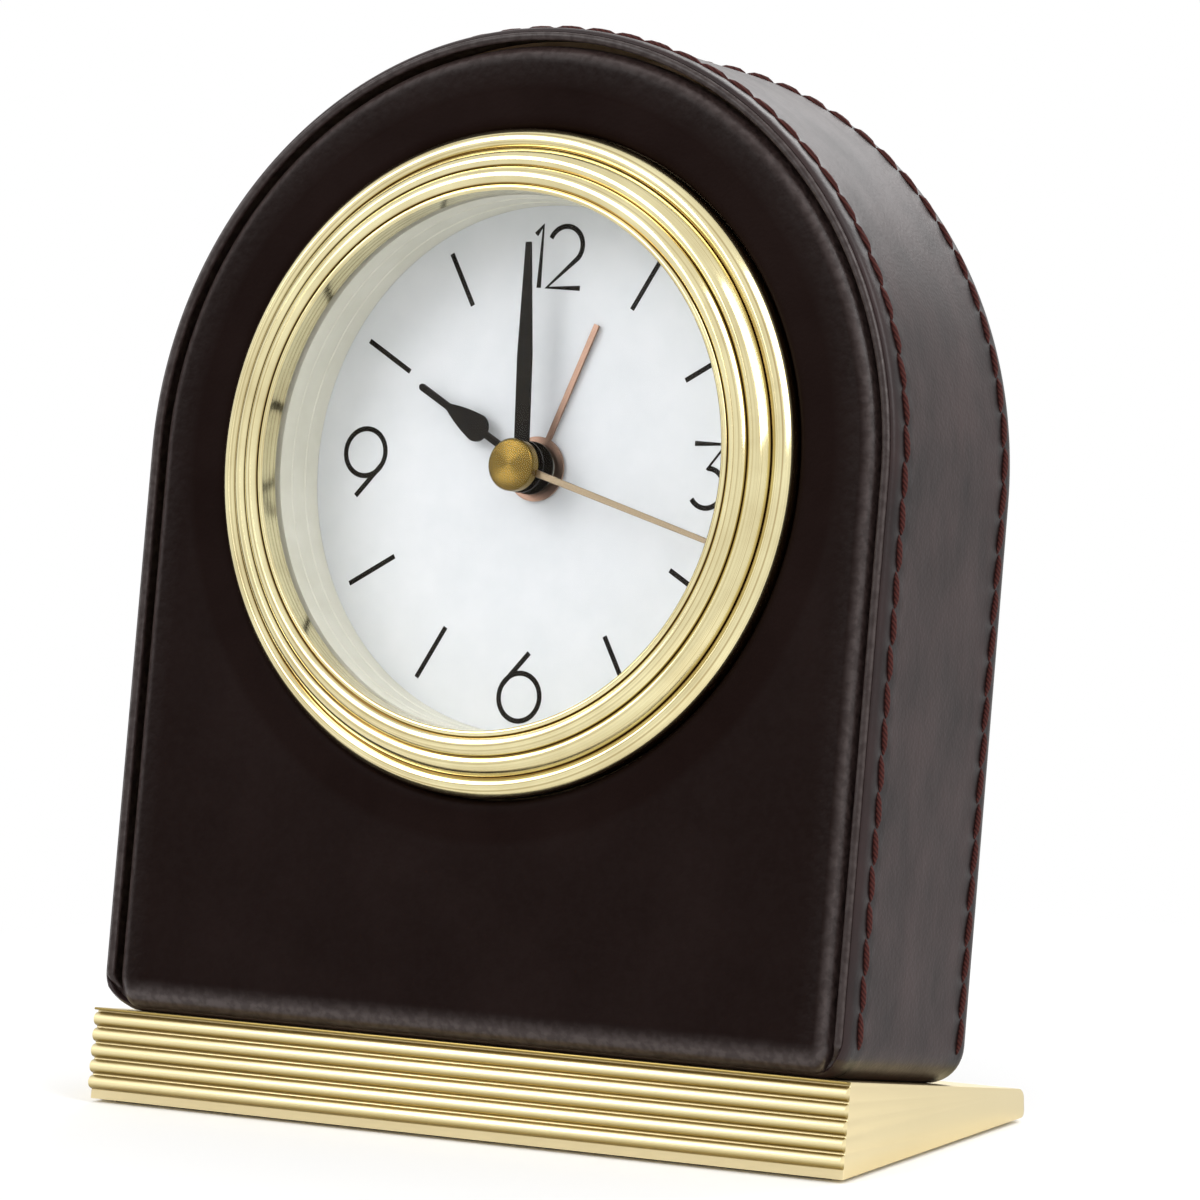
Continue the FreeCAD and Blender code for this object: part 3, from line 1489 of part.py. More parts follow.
def make_battery_door():
    """Flat door that pulls off to the rear out of its recess, with finger ridges near its top."""
    piece = new_piece("battery_door")
    drop = -S["cell_drop"]
    half = S["door_height"] / 2
    side = S["door_length"] / 2
    plate(piece, corners_of(-side, drop - half, side, drop + half), DOOR_FRONT, DOOR_BACK)
    grip = S["door_grip_groove"]
    grip_half = S["door_grip_width"] / 2
    low = drop + half - S["door_grip_pitch"] * 4
    one = plate(piece, corners_of(-grip_half, low, grip_half, low + grip), DOOR_BACK, DOOR_BACK + grip)
    in_a_row(piece, [one], "Z_Axis", S["door_grip_pitch"] * (S["door_grip_count"] - 1), S["door_grip_count"])
    on_dial(piece)


def make_alarm_switch():
    """Slide button with a foot behind the cover that keeps it in its slot."""
    piece = new_piece("alarm_switch")
    half = S["switch_length"] / 2
    width = S["switch_width"] / 2
    height = S["switch_height"]
    margin = S["switch_foot_margin"]
    foot_back = S["cover_depth"] - S["seat_gap"] * 2
    slider = corners_of(-half, height - width, half, height + width)
    plate(piece, slider, foot_back, COVER_BACK + S["switch_rise"])
    plate(
        piece, corners_of(-half - margin, height - width - margin, half + margin, height + width + margin),
        foot_back - S["switch_foot"], foot_back,
    )
    on_dial(piece)


# Build every piece, check it and write it out

def make_clock():
    make_base_plate()
    make_base_pad()
    make_case_core()
    make_side_leather()
    make_front_welt()
    make_front_leather()
    make_front_foam()
    make_boards()
    make_bezel_ring()
    make_lens()
    make_insert_housing()
    make_dial()
    make_hour_hand()
    make_minute_hand()
    make_second_hand()
    make_second_cap()
    make_alarm_hand()
    make_seconds_wheel()
    make_cannon_pinion()
    make_centre_wheel()
    make_hour_wheel()
    make_alarm_wheel()
    make_minute_wheel()
    make_going_train()
    make_rotor()
    make_setting_works()
    make_movement_front_plate()
    make_movement_bridge()
    make_stator()
    make_coil()
    make_circuit_board()
    make_quartz_crystal()
    make_buzzer()
    make_alarm_contact_spring()
    make_battery()
    make_battery_contacts()
    make_rear_cover()
    make_battery_door()
    make_alarm_switch()


def check_and_write():
    doc.recompute()
    for thing in doc.Objects:
        if "Invalid" in thing.State or "Error" in thing.State:
            raise RuntimeError(f"{thing.Label} failed: {thing.State}")
    os.makedirs("parts", exist_ok=True)
    for piece in parts:
        shape = piece.Shape
        if shape.isNull() or not shape.isValid() or not shape.Solids:
            raise RuntimeError(f"{piece.Label} has no valid solid")
        shape.exportStep(f"parts/{piece.Label}.step")
        print(piece.Label, len(shape.Solids), round(shape.Volume, 2))


make_clock()
check_and_write()
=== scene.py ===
import math

import bpy
from mathutils import Matrix, Vector
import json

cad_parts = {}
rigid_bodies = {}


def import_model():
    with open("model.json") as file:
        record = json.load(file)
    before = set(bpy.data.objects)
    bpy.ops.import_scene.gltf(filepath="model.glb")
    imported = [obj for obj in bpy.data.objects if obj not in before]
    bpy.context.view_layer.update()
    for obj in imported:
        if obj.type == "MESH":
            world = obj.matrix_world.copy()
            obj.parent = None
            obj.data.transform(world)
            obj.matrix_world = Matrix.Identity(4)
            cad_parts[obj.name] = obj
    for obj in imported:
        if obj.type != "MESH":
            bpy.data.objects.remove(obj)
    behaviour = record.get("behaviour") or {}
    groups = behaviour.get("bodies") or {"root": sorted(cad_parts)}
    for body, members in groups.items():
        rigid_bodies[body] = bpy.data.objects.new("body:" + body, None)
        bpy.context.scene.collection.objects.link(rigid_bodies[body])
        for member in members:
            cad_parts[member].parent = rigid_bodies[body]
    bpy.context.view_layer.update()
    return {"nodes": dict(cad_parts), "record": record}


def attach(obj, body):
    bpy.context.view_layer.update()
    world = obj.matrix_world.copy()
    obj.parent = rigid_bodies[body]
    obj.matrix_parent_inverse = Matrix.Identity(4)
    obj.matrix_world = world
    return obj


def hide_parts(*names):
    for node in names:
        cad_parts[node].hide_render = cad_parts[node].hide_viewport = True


# Looks of the leather desk alarm clock. Pieces are shaped in millimetres in the leaning frame of
# the case (x to the right, y to the rear from the panel face, z up the case), of the dial or of
# the base, and then set down in the shared frame. Lists of points are drawn outlines.

MM = 0.001
QUARTER = math.pi / 2

# How far the case leans back, where the foot of its panel and the base's front edge lie, and how
# high up the case the dial's axis is
LEAN = math.radians(10.28)
PANEL_Y = -19.0637
PANEL_Z = 11.1697
EDGE_Y = -19.782
EDGE_Z = 11.3
DIAL_HEIGHT = 67.0

# Case outline, the leather's thickness, and the depth of the flat fields at its front and rear
HALF_WIDTH = 51.0
CORNER = 4.5
LEATHER = 0.95
FRONT_FIELD = -1.08
REAR_FIELD = 27.85

# Wedge base: width, height of the ribbed front, depth of the top, and the ribs
BASE_WIDTH = 103.2
BASE_FACE = 10.85
BASE_TOP = 43.5
RIB_RADIUS = 0.815
RIB_PITCH = 1.88
RIB_LEDGE = 0.3
RIB_GAP = 0.25
RIB_COUNT = 5

# Radii of the grooves between the bezel's reeds, along which painted shade darkens the bezel's
# colour
BEZEL_GROOVES = (36.56, 34.21, 32.02)

# Stitches: pitch and depth of the two rows, the thread lobe and how it lies
STITCH_PITCH = 4.1
STITCH_DEPTH = 2.15
REAR_STITCH_DEPTH = 25.6
THREAD_RADIUS = 0.4
STITCH_STRETCH = 5.5
STITCH_SLANT = 7.0
STITCH_STAND = 0.06

# Prints on the dial: hours with a bar, the bar's size and place, and the strokes of the numbers
BAR_HOURS = (1, 2, 4, 5, 7, 8, 10, 11)
BAR_SIZE = (0.6, 0.08, 7.0)
BAR_RADIUS = 25.4
BAR_DEPTH = 6.48
STROKE_RADIUS = 0.35
STROKE_DEPTH = 6.49
STROKE_FLATNESS = 0.2

# Second hand: depth of its plane, thickness, and degrees from twelve
SWEEP_DEPTH = 1.7
SWEEP_THICKNESS = 0.3
SECOND_ANGLE = 106.4

# Screws of the rear cover: size, and their circle about the dial's axis
SCREW_RADIUS = 1.3
SCREW_HEIGHT = 0.7
SCREW_RECESS = 0.3
SCREW_CIRCLE = 30.5
SCREW_DEPTH = 26.15
SCREW_ANGLES = (90.0, 205.0, 335.0)

# Camera: angles in degrees, distance and aim in metres, lens and sensor in millimetres
AZIMUTH = 31.912
ELEVATION = 6.002
ROLL = -0.609
DISTANCE = 0.727386
AIM = (0.005705, 0.00325, 0.060567)
LENS = 186.983
SENSOR = 36.0

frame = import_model()


def leaning(origin_y, origin_z, up=0.0):
    """Frame that leans back with the case, its own millimetres turned into metres."""
    lean = Matrix.Rotation(-LEAN, 4, "X")
    place = Matrix.Translation(Vector((0.0, origin_y, origin_z)) * MM)
    return place @ lean @ Matrix.Scale(MM, 4) @ Matrix.Translation((0.0, 0.0, up))


CASE = leaning(PANEL_Y, PANEL_Z)
DIAL = leaning(PANEL_Y, PANEL_Z, DIAL_HEIGHT)
BASE = leaning(EDGE_Y, EDGE_Z)


# Modelling helpers

def deselect():
    for other in bpy.context.view_layer.objects:
        other.select_set(False)


def pick(*pieces):
    """Select these pieces alone, with the first one active."""
    deselect()
    for piece in pieces:
        piece.select_set(True)
    bpy.context.view_layer.objects.active = pieces[0]


def apply_place():
    bpy.ops.object.transform_apply(location=True, rotation=True, scale=True)


def begin(name):
    """Name the primitive that was just added and open it for editing."""
    piece = bpy.context.active_object
    piece.name = name
    piece.data.name = name
    bpy.ops.object.mode_set(mode="EDIT")
    return piece


def end_edit(merge=0.0005):
    """Merge what coincides, turn all faces outwards and leave edit mode."""
    bpy.ops.mesh.select_all(action="SELECT")
    bpy.ops.mesh.remove_doubles(threshold=merge)
    bpy.ops.mesh.normals_make_consistent(inside=False)
    bpy.ops.object.mode_set(mode="OBJECT")


def choose(piece, wanted, kind="VERT"):
    """Select the vertices, edges or faces whose middle passes the test."""
    bpy.ops.mesh.select_mode(type=kind)
    bpy.ops.mesh.select_all(action="DESELECT")
    bpy.ops.object.mode_set(mode="OBJECT")
    mesh = piece.data
    if kind == "VERT":
        for vertex in mesh.vertices:
            vertex.select = bool(wanted(vertex.co))
    elif kind == "EDGE":
        for edge in mesh.edges:
            ends = [mesh.vertices[index].co for index in edge.vertices]
            edge.select = bool(wanted((ends[0] + ends[1]) / 2, ends[1] - ends[0]))
    else:
        for face in mesh.polygons:
            face.select = bool(wanted(face.center, face.normal))
    bpy.ops.object.mode_set(mode="EDIT")


def first_point(name, at):
    """A plane drawn together into one point, from which a section is extruded."""
    deselect()
    bpy.ops.mesh.primitive_plane_add(size=1.0, location=(0, 0, 0))
    piece = begin(name)
    bpy.ops.mesh.select_all(action="SELECT")
    bpy.ops.mesh.merge(type="CENTER")
    bpy.ops.mesh.select_mode(type="VERT")
    bpy.ops.mesh.select_all(action="SELECT")
    bpy.ops.transform.translate(value=at)
    return piece


def push(step):
    """Extrude what is selected by a step."""
    bpy.ops.mesh.extrude_region_move(TRANSFORM_OT_translate={"value": step})


def draw_section(name, points, closed=True):
    """Extrude one point along a section, closed unless told not to, and leave it all selected."""
    piece = first_point(name, points[0])
    for before, after in zip(points, points[1:]):
        push(tuple(b - a for a, b in zip(before, after)))
    if closed:
        push(tuple(b - a for a, b in zip(points[-1], points[0])))
    bpy.ops.mesh.select_all(action="SELECT")
    bpy.ops.mesh.remove_doubles(threshold=0.0001)
    bpy.ops.mesh.select_all(action="SELECT")
    return piece


def spin(centre, degrees, steps):
    """Sweep what is selected about an axis along y."""
    bpy.ops.mesh.spin(
        steps=steps, angle=math.radians(-degrees), center=centre, axis=(0, 1, 0), dupli=False,
    )


def lathe(name, profile, steps):
    """Turn a closed profile of (radius, depth) points about the dial axis."""
    piece = draw_section(name, [(radius, depth, 0.0) for radius, depth in profile])
    spin((0, 0, 0), 360, steps)
    end_edit()
    return piece


def round_the_case(name, section, arch_steps, corner_steps, closed=True):
    """Sweep a section of (inset, depth) points round the case, from the middle of its foot."""
    straight = HALF_WIDTH - CORNER
    rise = DIAL_HEIGHT - CORNER
    piece = draw_section(name, [(0.0, depth, inset) for inset, depth in section], closed)
    push((-straight, 0, 0))
    spin((-straight, 0, CORNER), 90, corner_steps)
    push((0, 0, rise))
    spin((0, 0, DIAL_HEIGHT), 180, arch_steps)
    push((0, 0, -rise))
    spin((straight, 0, CORNER), 90, corner_steps)
    push((-straight, 0, 0))
    end_edit(merge=0.002)
    return piece


def arc_points(centre, radius, start, stop, count):
    """Points on an arc in a section, angles in degrees from the first axis to the second."""
    points = []
    for index in range(count + 1):
        angle = math.radians(start + (stop - start) * index / count)
        across, along = radius * math.cos(angle), radius * math.sin(angle)
        points.append((centre[0] + across, centre[1] + along))
    return points


def set_down(piece, where, body, smooth, replaced=()):
    """Put a finished piece in the shared frame, with its place applied to its mesh."""
    pick(piece)
    piece.matrix_world = where @ piece.matrix_world
    apply_place()
    bpy.ops.object.shade_smooth_by_angle(angle=math.radians(smooth))
    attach(piece, body)
    if replaced:
        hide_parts(*replaced)
    return piece


def soften(piece, width, segments):
    """Break every sharp edge with a small bevel."""
    pick(piece)
    bevel = piece.modifiers.new("soft_edges", "BEVEL")
    bevel.width = width
    bevel.segments = segments
    bevel.limit_method = "ANGLE"
    bevel.angle_limit = math.radians(40)
    bevel.harden_normals = False
    bpy.ops.object.modifier_apply(modifier=bevel.name)


def copied(piece, name):
    """A copy of a piece with a mesh of its own."""
    twin = piece.copy()
    twin.data = piece.data.copy()
    twin.name = name
    bpy.context.collection.objects.link(twin)
    return twin


def joined(pieces, name):
    """One piece made of several, each with its place applied first."""
    pick(*pieces)
    apply_place()
    bpy.ops.object.join()
    pieces[0].name = name
    pieces[0].data.name = name
    return pieces[0]


# Wedge base

def make_base():
    """Wedge block with half-round ribs across its front under a small plain ledge."""
    toe = -BASE_FACE / math.cos(LEAN)
    slope = BASE_TOP - BASE_FACE * math.tan(LEAN)
    heel = BASE_FACE - slope * math.tan(LEAN)
    heel_y = BASE_TOP * math.cos(LEAN)
    heel_z = toe + BASE_TOP * math.sin(LEAN)
    top_heel = heel_y - heel * math.sin(LEAN)
    outline = [(RIB_RADIUS, toe + RIB_RADIUS * math.tan(LEAN)), (heel_y, heel_z)]
    outline += [(top_heel, 0.0), (0.0, 0.0), (0.0, -RIB_LEDGE)]
    height = -RIB_LEDGE
    for _ in range(RIB_COUNT):
        outline.append((RIB_RADIUS, height))
        height -= RIB_GAP
        outline += arc_points((RIB_RADIUS, height - RIB_RADIUS), RIB_RADIUS, 90, 270, 10)
        height -= RIB_RADIUS * 2
    half = BASE_WIDTH / 2
    piece = draw_section("base_block", [(-half, y, z) for y, z in outline])
    bpy.ops.mesh.edge_face_add()
    push((BASE_WIDTH, 0, 0))
    end_edit()
    pick(piece)
    bpy.ops.object.mode_set(mode="EDIT")
    for edge_y, round_over, segments in ((top_heel, 1.1, 6), (heel_y, 0.7, 3)):
        choose(piece, lambda at, way: abs(at.y - edge_y) < 0.01 and abs(way.x) > half, "EDGE")
        bpy.ops.mesh.bevel(offset=round_over, segments=segments, affect="EDGES")
    bpy.ops.object.mode_set(mode="OBJECT")
    soften(piece, 0.12, 2)
    return set_down(piece, BASE, "case", 35, ["base_plate"])


# Leather case

def tuck_under(piece, starts, step):
    """Lead the front of a foot run back under the panel, a little more with each start height."""
    pick(piece)
    bpy.ops.object.mode_set(mode="EDIT")
    front_part = 1.8 + step * len(starts)
    for height in starts:
        choose(piece, lambda at: at.z < height and at.y < front_part)
        bpy.ops.transform.translate(value=(0, step, 0))
    bpy.ops.object.mode_set(mode="OBJECT")


def make_side_band():
    """Leather band glued round the case, its two lips turned in over the edges."""
    section = [(LEATHER, 0.4), (0.8, -0.2), (0.6, -0.34), (0.38, -0.25), (0.18, 0.05), (0.05, 0.5)]
    section += [(0.0, 1.05), (0.0, 1.6), (0.05, STITCH_DEPTH), (0.0, 2.75), (0.0, 4.0)]
    section += [(0.0, 12.0), (0.0, 23.5), (0.0, 24.9), (0.05, REAR_STITCH_DEPTH), (0.0, 26.3)]
    section += [(0.0, 26.7), (0.1, 27.2), (0.32, 27.62), (0.6, 27.8), (0.85, 27.75)]
    section += [(LEATHER, 27.4)]
    piece = round_the_case("side_band", section, arch_steps=144, corner_steps=10)
    map_case(piece)
    tuck_under(piece, (2.2, 1.7, 1.3, 1.0), 0.3)
    return set_down(piece, CASE, "case", 50, ["side_leather"])


def make_piping():
    """Leather piping that lies between the panel and the band, with its tail under the panel."""
    bead_centre, bead_radius = (1.16, -0.3), 0.5
    section = arc_points(bead_centre, bead_radius, 60, -240, 16)
    section += [(1.0, 3.0), (1.32, 3.0)]
    piece = round_the_case("front_piping", section, arch_steps=128, corner_steps=10)
    map_case(piece)
    tuck_under(piece, (3.9, 3.4, 3.0, 2.6, 2.3), 0.34)
    return set_down(piece, CASE, "case", 60, ["front_welt"])


def map_case(piece):
    """Map the leather by its length round the case and its depth, both in centimetres."""
    mesh = piece.data
    layer = mesh.uv_layers.active or mesh.uv_layers.new(name="UVMap")
    arch_radius = HALF_WIDTH - LEATHER
    for loop in mesh.loops:
        at = mesh.vertices[loop.vertex_index].co
        if at.z > DIAL_HEIGHT:
            along = math.atan2(at.x, at.z - DIAL_HEIGHT) * arch_radius
        else:
            along = math.copysign(arch_radius * QUARTER + DIAL_HEIGHT - at.z, at.x)
        layer.data[loop.index].uv = (along / 10, at.y / 10)


def covered_face(name, edge, dish, replaced, foot_stretch=None):
    """A leather face: its edge swept round the case, filled in to a ring turned round the dial.

    Both run flat at the plateau's depth where they meet the fill. A foot_stretch draws the edge at
    the foot down towards the base.
    """
    ring = draw_section("ring", [(radius, depth, 0.0) for radius, depth in dish], closed=False)
    spin((0, 0, 0), 360, 144)
    bpy.ops.mesh.select_all(action="SELECT")
    bpy.ops.transform.translate(value=(0, 0, DIAL_HEIGHT))
    end_edit()
    piece = round_the_case(name, edge, arch_steps=128, corner_steps=6, closed=False)
    piece = joined([piece, ring], name)
    inset, plateau = edge[-1]
    rim = dish[0][0]
    bpy.ops.object.mode_set(mode="EDIT")
    choose(piece, lambda at, way: on_rim(at, plateau, inset, rim), "EDGE")
    bpy.ops.mesh.fill(use_beauty=True)
    end_edit(merge=0.001)
    map_case(piece)
    if foot_stretch:
        bpy.ops.object.mode_set(mode="EDIT")
        choose(piece, lambda at: at.z < CORNER)
        bpy.ops.transform.resize(value=(1, 1, foot_stretch), center_override=(0, 0, CORNER))
        bpy.ops.object.mode_set(mode="OBJECT")
    give_thickness(piece, LEATHER - 0.1, 1 if plateau > 0 else -1)
    return set_down(piece, CASE, "case", 70, replaced)


def give_thickness(piece, thickness, way):
    """Turn the open face outwards, towards way along y, and thicken it inwards to leather."""
    facing = sum(face.normal.y * face.area for face in piece.data.polygons)
    pick(piece)
    if facing * way < 0:
        bpy.ops.object.mode_set(mode="EDIT")
        bpy.ops.mesh.select_all(action="SELECT")
        bpy.ops.mesh.flip_normals()
        bpy.ops.object.mode_set(mode="OBJECT")
    wall = piece.modifiers.new("leather", "SOLIDIFY")
    wall.thickness = thickness
    wall.offset = -1.0
    bpy.ops.object.modifier_apply(modifier=wall.name)


def on_rim(at, plateau, inset, rim):
    """Whether an edge belongs to the panel's inner border or to the ring round the dial."""
    if abs(at.y - plateau) > 0.003:
        return False
    near = 0.03
    reach = math.hypot(at.x, at.z - DIAL_HEIGHT)
    if abs(reach - rim) < near:
        return True
    inner = HALF_WIDTH - inset
    if at.z >= DIAL_HEIGHT:
        return abs(reach - inner) < near
    beyond = abs(at.x) - HALF_WIDTH + CORNER
    if beyond > 0 and at.z < CORNER:
        return abs(math.hypot(beyond, CORNER - at.z) - CORNER + inset) < near
    return abs(abs(at.x) - inner) < near or abs(at.z - inset) < near


def make_front_panel():
    """Padded leather panel: a soft rounded edge, a flat plateau and a dish round the bezel."""
    edge = [(3.2, 4.2), (2.35, 4.0), (2.15, 2.6), (2.12, 1.5), (2.17, 0.95), (2.3, 0.45)]
    edge += [(2.5, 0.03), (2.78, -0.32), (3.1, -0.6), (3.45, -0.82), (3.8, -0.98), (4.1, -1.06)]
    edge += [(4.3, FRONT_FIELD), (4.42, FRONT_FIELD)]
    dish = [(40.8, FRONT_FIELD), (40.5, FRONT_FIELD), (40.0, -1.06), (39.6, -0.97), (39.3, -0.82)]
    dish += [(39.08, -0.55), (38.95, -0.1), (38.9, 0.6), (38.9, 1.8)]
    piece = covered_face("front_panel", edge, dish, ["front_leather"], foot_stretch=1.75)
    return piece


def make_rear_panel():
    """Plain leather panel glued over the back board, with the hole that the rear cover sits in."""
    edge = [(1.2, 26.95), (1.02, 27.1), (1.02, 27.4), (1.25, 27.68), (1.7, 27.82)]
    edge += [(2.4, REAR_FIELD), (2.8, REAR_FIELD)]
    hole = [(36.8, REAR_FIELD), (36.4, REAR_FIELD), (35.4, 27.8), (34.9, 27.6), (34.75, 27.2)]
    hole += [(34.72, 26.9), (34.6, 26.6), (34.6, 24.7)]
    return covered_face("rear_panel", edge, hole, ["rear_leather"])


def make_stitching(name, depth, side):
    """One row of stitches round the band: a single thread lobe, copied along legs and arch.

    The lobe's ends dip into the leather. The side says which way the stitches slant.
    """
    deselect()
    bpy.ops.mesh.primitive_uv_sphere_add(segments=8, ring_count=6, radius=THREAD_RADIUS)
    lobe = begin(name + "_lobe")
    bpy.ops.mesh.select_all(action="SELECT")
    bpy.ops.transform.resize(value=(1.0, 1.05, STITCH_STRETCH))
    choose(lobe, lambda at: abs(at.z) > 1.3)
    bpy.ops.transform.translate(value=(-0.14, 0, 0))
    bpy.ops.object.mode_set(mode="OBJECT")
    arch = HALF_WIDTH * math.pi
    into_corner = 1.5
    leg = DIAL_HEIGHT - CORNER + into_corner
    count = int((arch + leg * 2) / STITCH_PITCH)
    stitches = []
    for index in range(count):
        along = (index + 0.5 - count / 2) * STITCH_PITCH
        wander = 0.06 * math.sin(index * 2.3) + 0.04 * math.sin(index * 5.1)
        stitch = copied(lobe, f"{name}_{index:03d}")
        stitch.matrix_world = on_band(along, depth + wander, STITCH_SLANT * side)
        stitches.append(stitch)
    bpy.data.objects.remove(lobe, do_unlink=True)
    return set_down(joined(stitches, name), CASE, "case", 80)


def on_band(along, depth, slant):
    """Place on the band's outside, counted from its top, with x outwards and z along the row."""
    quarter = HALF_WIDTH * QUARTER
    if abs(along) <= quarter:
        turn = along / HALF_WIDTH
        across, above = math.sin(turn) * HALF_WIDTH, math.cos(turn) * HALF_WIDTH
    else:
        turn = math.copysign(QUARTER, along)
        across, above = math.copysign(HALF_WIDTH, along), quarter - abs(along)
    place = Matrix.Translation((across, depth, DIAL_HEIGHT + above))
    heading = Matrix.Rotation(turn - QUARTER, 4, "Y")
    tilt = Matrix.Rotation(math.radians(slant), 4, "X")
    return place @ heading @ tilt @ Matrix.Translation((STITCH_STAND, 0, 0))


# Bezel, cup and dial

def reed(start, stop, rise, count=10):
    """Points of a rounded reed between two grooves, standing out towards the viewer."""
    points = []
    for index in range(count + 1):
        share = index / count
        radius = start[0] + (stop[0] - start[0]) * share
        depth = start[1] + (stop[1] - start[1]) * share
        points.append((radius, depth - rise * 4 * share * (1 - share)))
    return points


def make_bezel():
    """Gold bezel with three rounded reeds and a bead, rising inwards to the lens.

    The rest of the profile is the lens seat and the skirt that reaches into the case.
    """
    profile = [(38.8, 0.0), (38.8, -1.5)]
    profile += reed((38.8, -1.9), (36.64, -2.75), 0.68)
    profile += [(36.62, -2.45), (36.5, -2.45)]
    profile += reed((36.46, -2.8), (34.28, -4.2), 0.76)
    profile += [(34.26, -3.9), (34.16, -3.9)]
    profile += reed((34.12, -4.3), (32.08, -4.85), 0.57)
    profile += [(32.06, -4.6), (31.98, -4.6)]
    profile += reed((31.96, -4.8), (31.2, -4.9), 0.22, 6)
    profile += [(31.2, -2.25), (32.6, -2.25), (32.6, -1.0), (34.7, -0.95), (34.7, 8.0)]
    profile += [(37.0, 8.0), (37.0, 0.0)]
    piece = lathe("bezel", profile, 224)
    return set_down(piece, DIAL, "case", 40, ["bezel_ring"])


def make_cup():
    """Cup behind the bezel, whose ivory inner wall steps in twice on the way to the dial."""
    profile = [(34.4, -0.95), (31.2, -0.95), (31.15, -0.85), (31.15, 1.3), (31.05, 1.42)]
    profile += [(31.05, 3.9), (30.95, 4.02), (30.95, 6.45), (32.8, 6.45), (32.8, 23.9)]
    profile += [(34.4, 23.9)]
    piece = lathe("dial_cup", profile, 176)
    return set_down(piece, DIAL, "case", 30, ["insert_housing"])


def make_dial_bars():
    """Thin printed bars at the hours that carry no number."""
    deselect()
    bpy.ops.mesh.primitive_cube_add(size=1.0, scale=BAR_SIZE)
    bar = begin("bar")
    bpy.ops.mesh.select_all(action="SELECT")
    bpy.ops.mesh.bevel(offset=0.03, segments=1, affect="EDGES")
    bpy.ops.object.mode_set(mode="OBJECT")
    bars = []
    for hour in BAR_HOURS:
        twin = copied(bar, f"bar_{hour}")
        turn = Matrix.Rotation(math.radians(hour * 30), 4, "Y")
        twin.matrix_world = turn @ Matrix.Translation((0, BAR_DEPTH, BAR_RADIUS))
        bars.append(twin)
    bpy.data.objects.remove(bar, do_unlink=True)
    return printed(bars, "dial_bars")


def printed(marks, name):
    return set_down(joined(marks, name), DIAL, "case", 30)


def stroke(name, points, closed=False):
    """A printed stroke along points given as (x, z), round at its corners and flat."""
    curve = bpy.data.curves.new(name, "CURVE")
    curve.dimensions = "3D"
    curve.bevel_depth = STROKE_RADIUS
    curve.bevel_resolution = 1
    curve.use_fill_caps = True
    line = curve.splines.new("POLY")
    line.points.add(len(points) - 1)
    for point, (x, z) in zip(line.points, points):
        point.co = (x, 0.0, z, 1.0)
    line.use_cyclic_u = closed
    piece = bpy.data.objects.new(name, curve)
    bpy.context.collection.objects.link(piece)
    pick(piece)
    bpy.ops.object.convert(target="MESH")
    piece = bpy.context.active_object
    flat = Matrix.Diagonal((1, STROKE_FLATNESS, 1, 1))
    piece.matrix_world = Matrix.Translation((0, STROKE_DEPTH, 0)) @ flat
    return piece


def make_numbers():
    """The four thin numbers, drawn from straight strokes and arcs."""
    middle, half_height = 24.9, 3.65
    top, foot = middle + half_height, middle - half_height
    marks = [stroke("one", [(-2.95, middle + 2.6), (-2.05, top), (-2.05, foot)])]
    two = arc_points((1.25, middle + 1.35), 2.28, 158, -38, 16)
    two += [(-0.95, foot + 0.05), (3.6, foot + 0.05)]
    marks.append(stroke("two", two))
    three = [(20.95, 3.75), (25.1, 3.75), (22.9, 0.95)]
    three += arc_points((22.95, -1.35), 2.3, 90, -145, 18)
    marks.append(stroke("three", three))
    marks += ringed("six", (0.0, -26.6), 1)
    marks += ringed("nine", (-24.3, 1.2), -1)
    return printed(marks, "dial_numbers")


def ringed(name, centre, way):
    """A round bowl with a straight slanted stem: a six, or turned over a nine."""
    bowl = [(centre[0] + x, centre[1] + z) for x, z in arc_points((0, 0), 2.8, 0, 350, 28)]
    stem = [(-2.45, 1.35), (0.9, 5.2)]
    stem = [(centre[0] + x * way, centre[1] + z * way) for x, z in stem]
    return [stroke(name + "_bowl", bowl, closed=True), stroke(name + "_stem", stem)]


def make_cap():
    """Spun brass cap over the hub of the second hand, softly domed."""
    profile = [(0.0, 1.55), (3.1, 1.55), (3.1, 0.75)] + arc_points((2.45, 0.75), 0.65, 0, -80, 6)
    profile += [(2.0, 0.07), (1.0, 0.03), (0.0, 0.02)]
    piece = lathe("hub_cap", profile, 64)
    return set_down(piece, DIAL, "seconds", 40, ["second_cap"])


def make_sweep_hand():
    """Second hand without a tail: a slim blade, narrower towards its tip, on a small hub."""
    deselect()
    bpy.ops.mesh.primitive_cylinder_add(
        vertices=32, radius=2.0, depth=SWEEP_THICKNESS, location=(0, SWEEP_DEPTH, 0),
        rotation=(QUARTER, 0, 0),
    )
    hub = bpy.context.active_object
    deselect()
    width, length, middle, tip_share = 0.86, 27.0, 14.5, 0.72
    bpy.ops.mesh.primitive_cube_add(
        size=1.0, location=(0, SWEEP_DEPTH, middle), scale=(width, SWEEP_THICKNESS, length),
    )
    blade = begin("sweep_blade")
    choose(blade, lambda at: at.z > 0)
    bpy.ops.transform.resize(value=(tip_share, 1, 1))
    bpy.ops.object.mode_set(mode="OBJECT")
    soften(blade, 0.04, 1)
    piece = joined([blade, hub], "sweep_hand")
    piece.matrix_world = Matrix.Rotation(math.radians(SECOND_ANGLE), 4, "Y")
    return set_down(piece, DIAL, "seconds", 40, ["second_hand"])


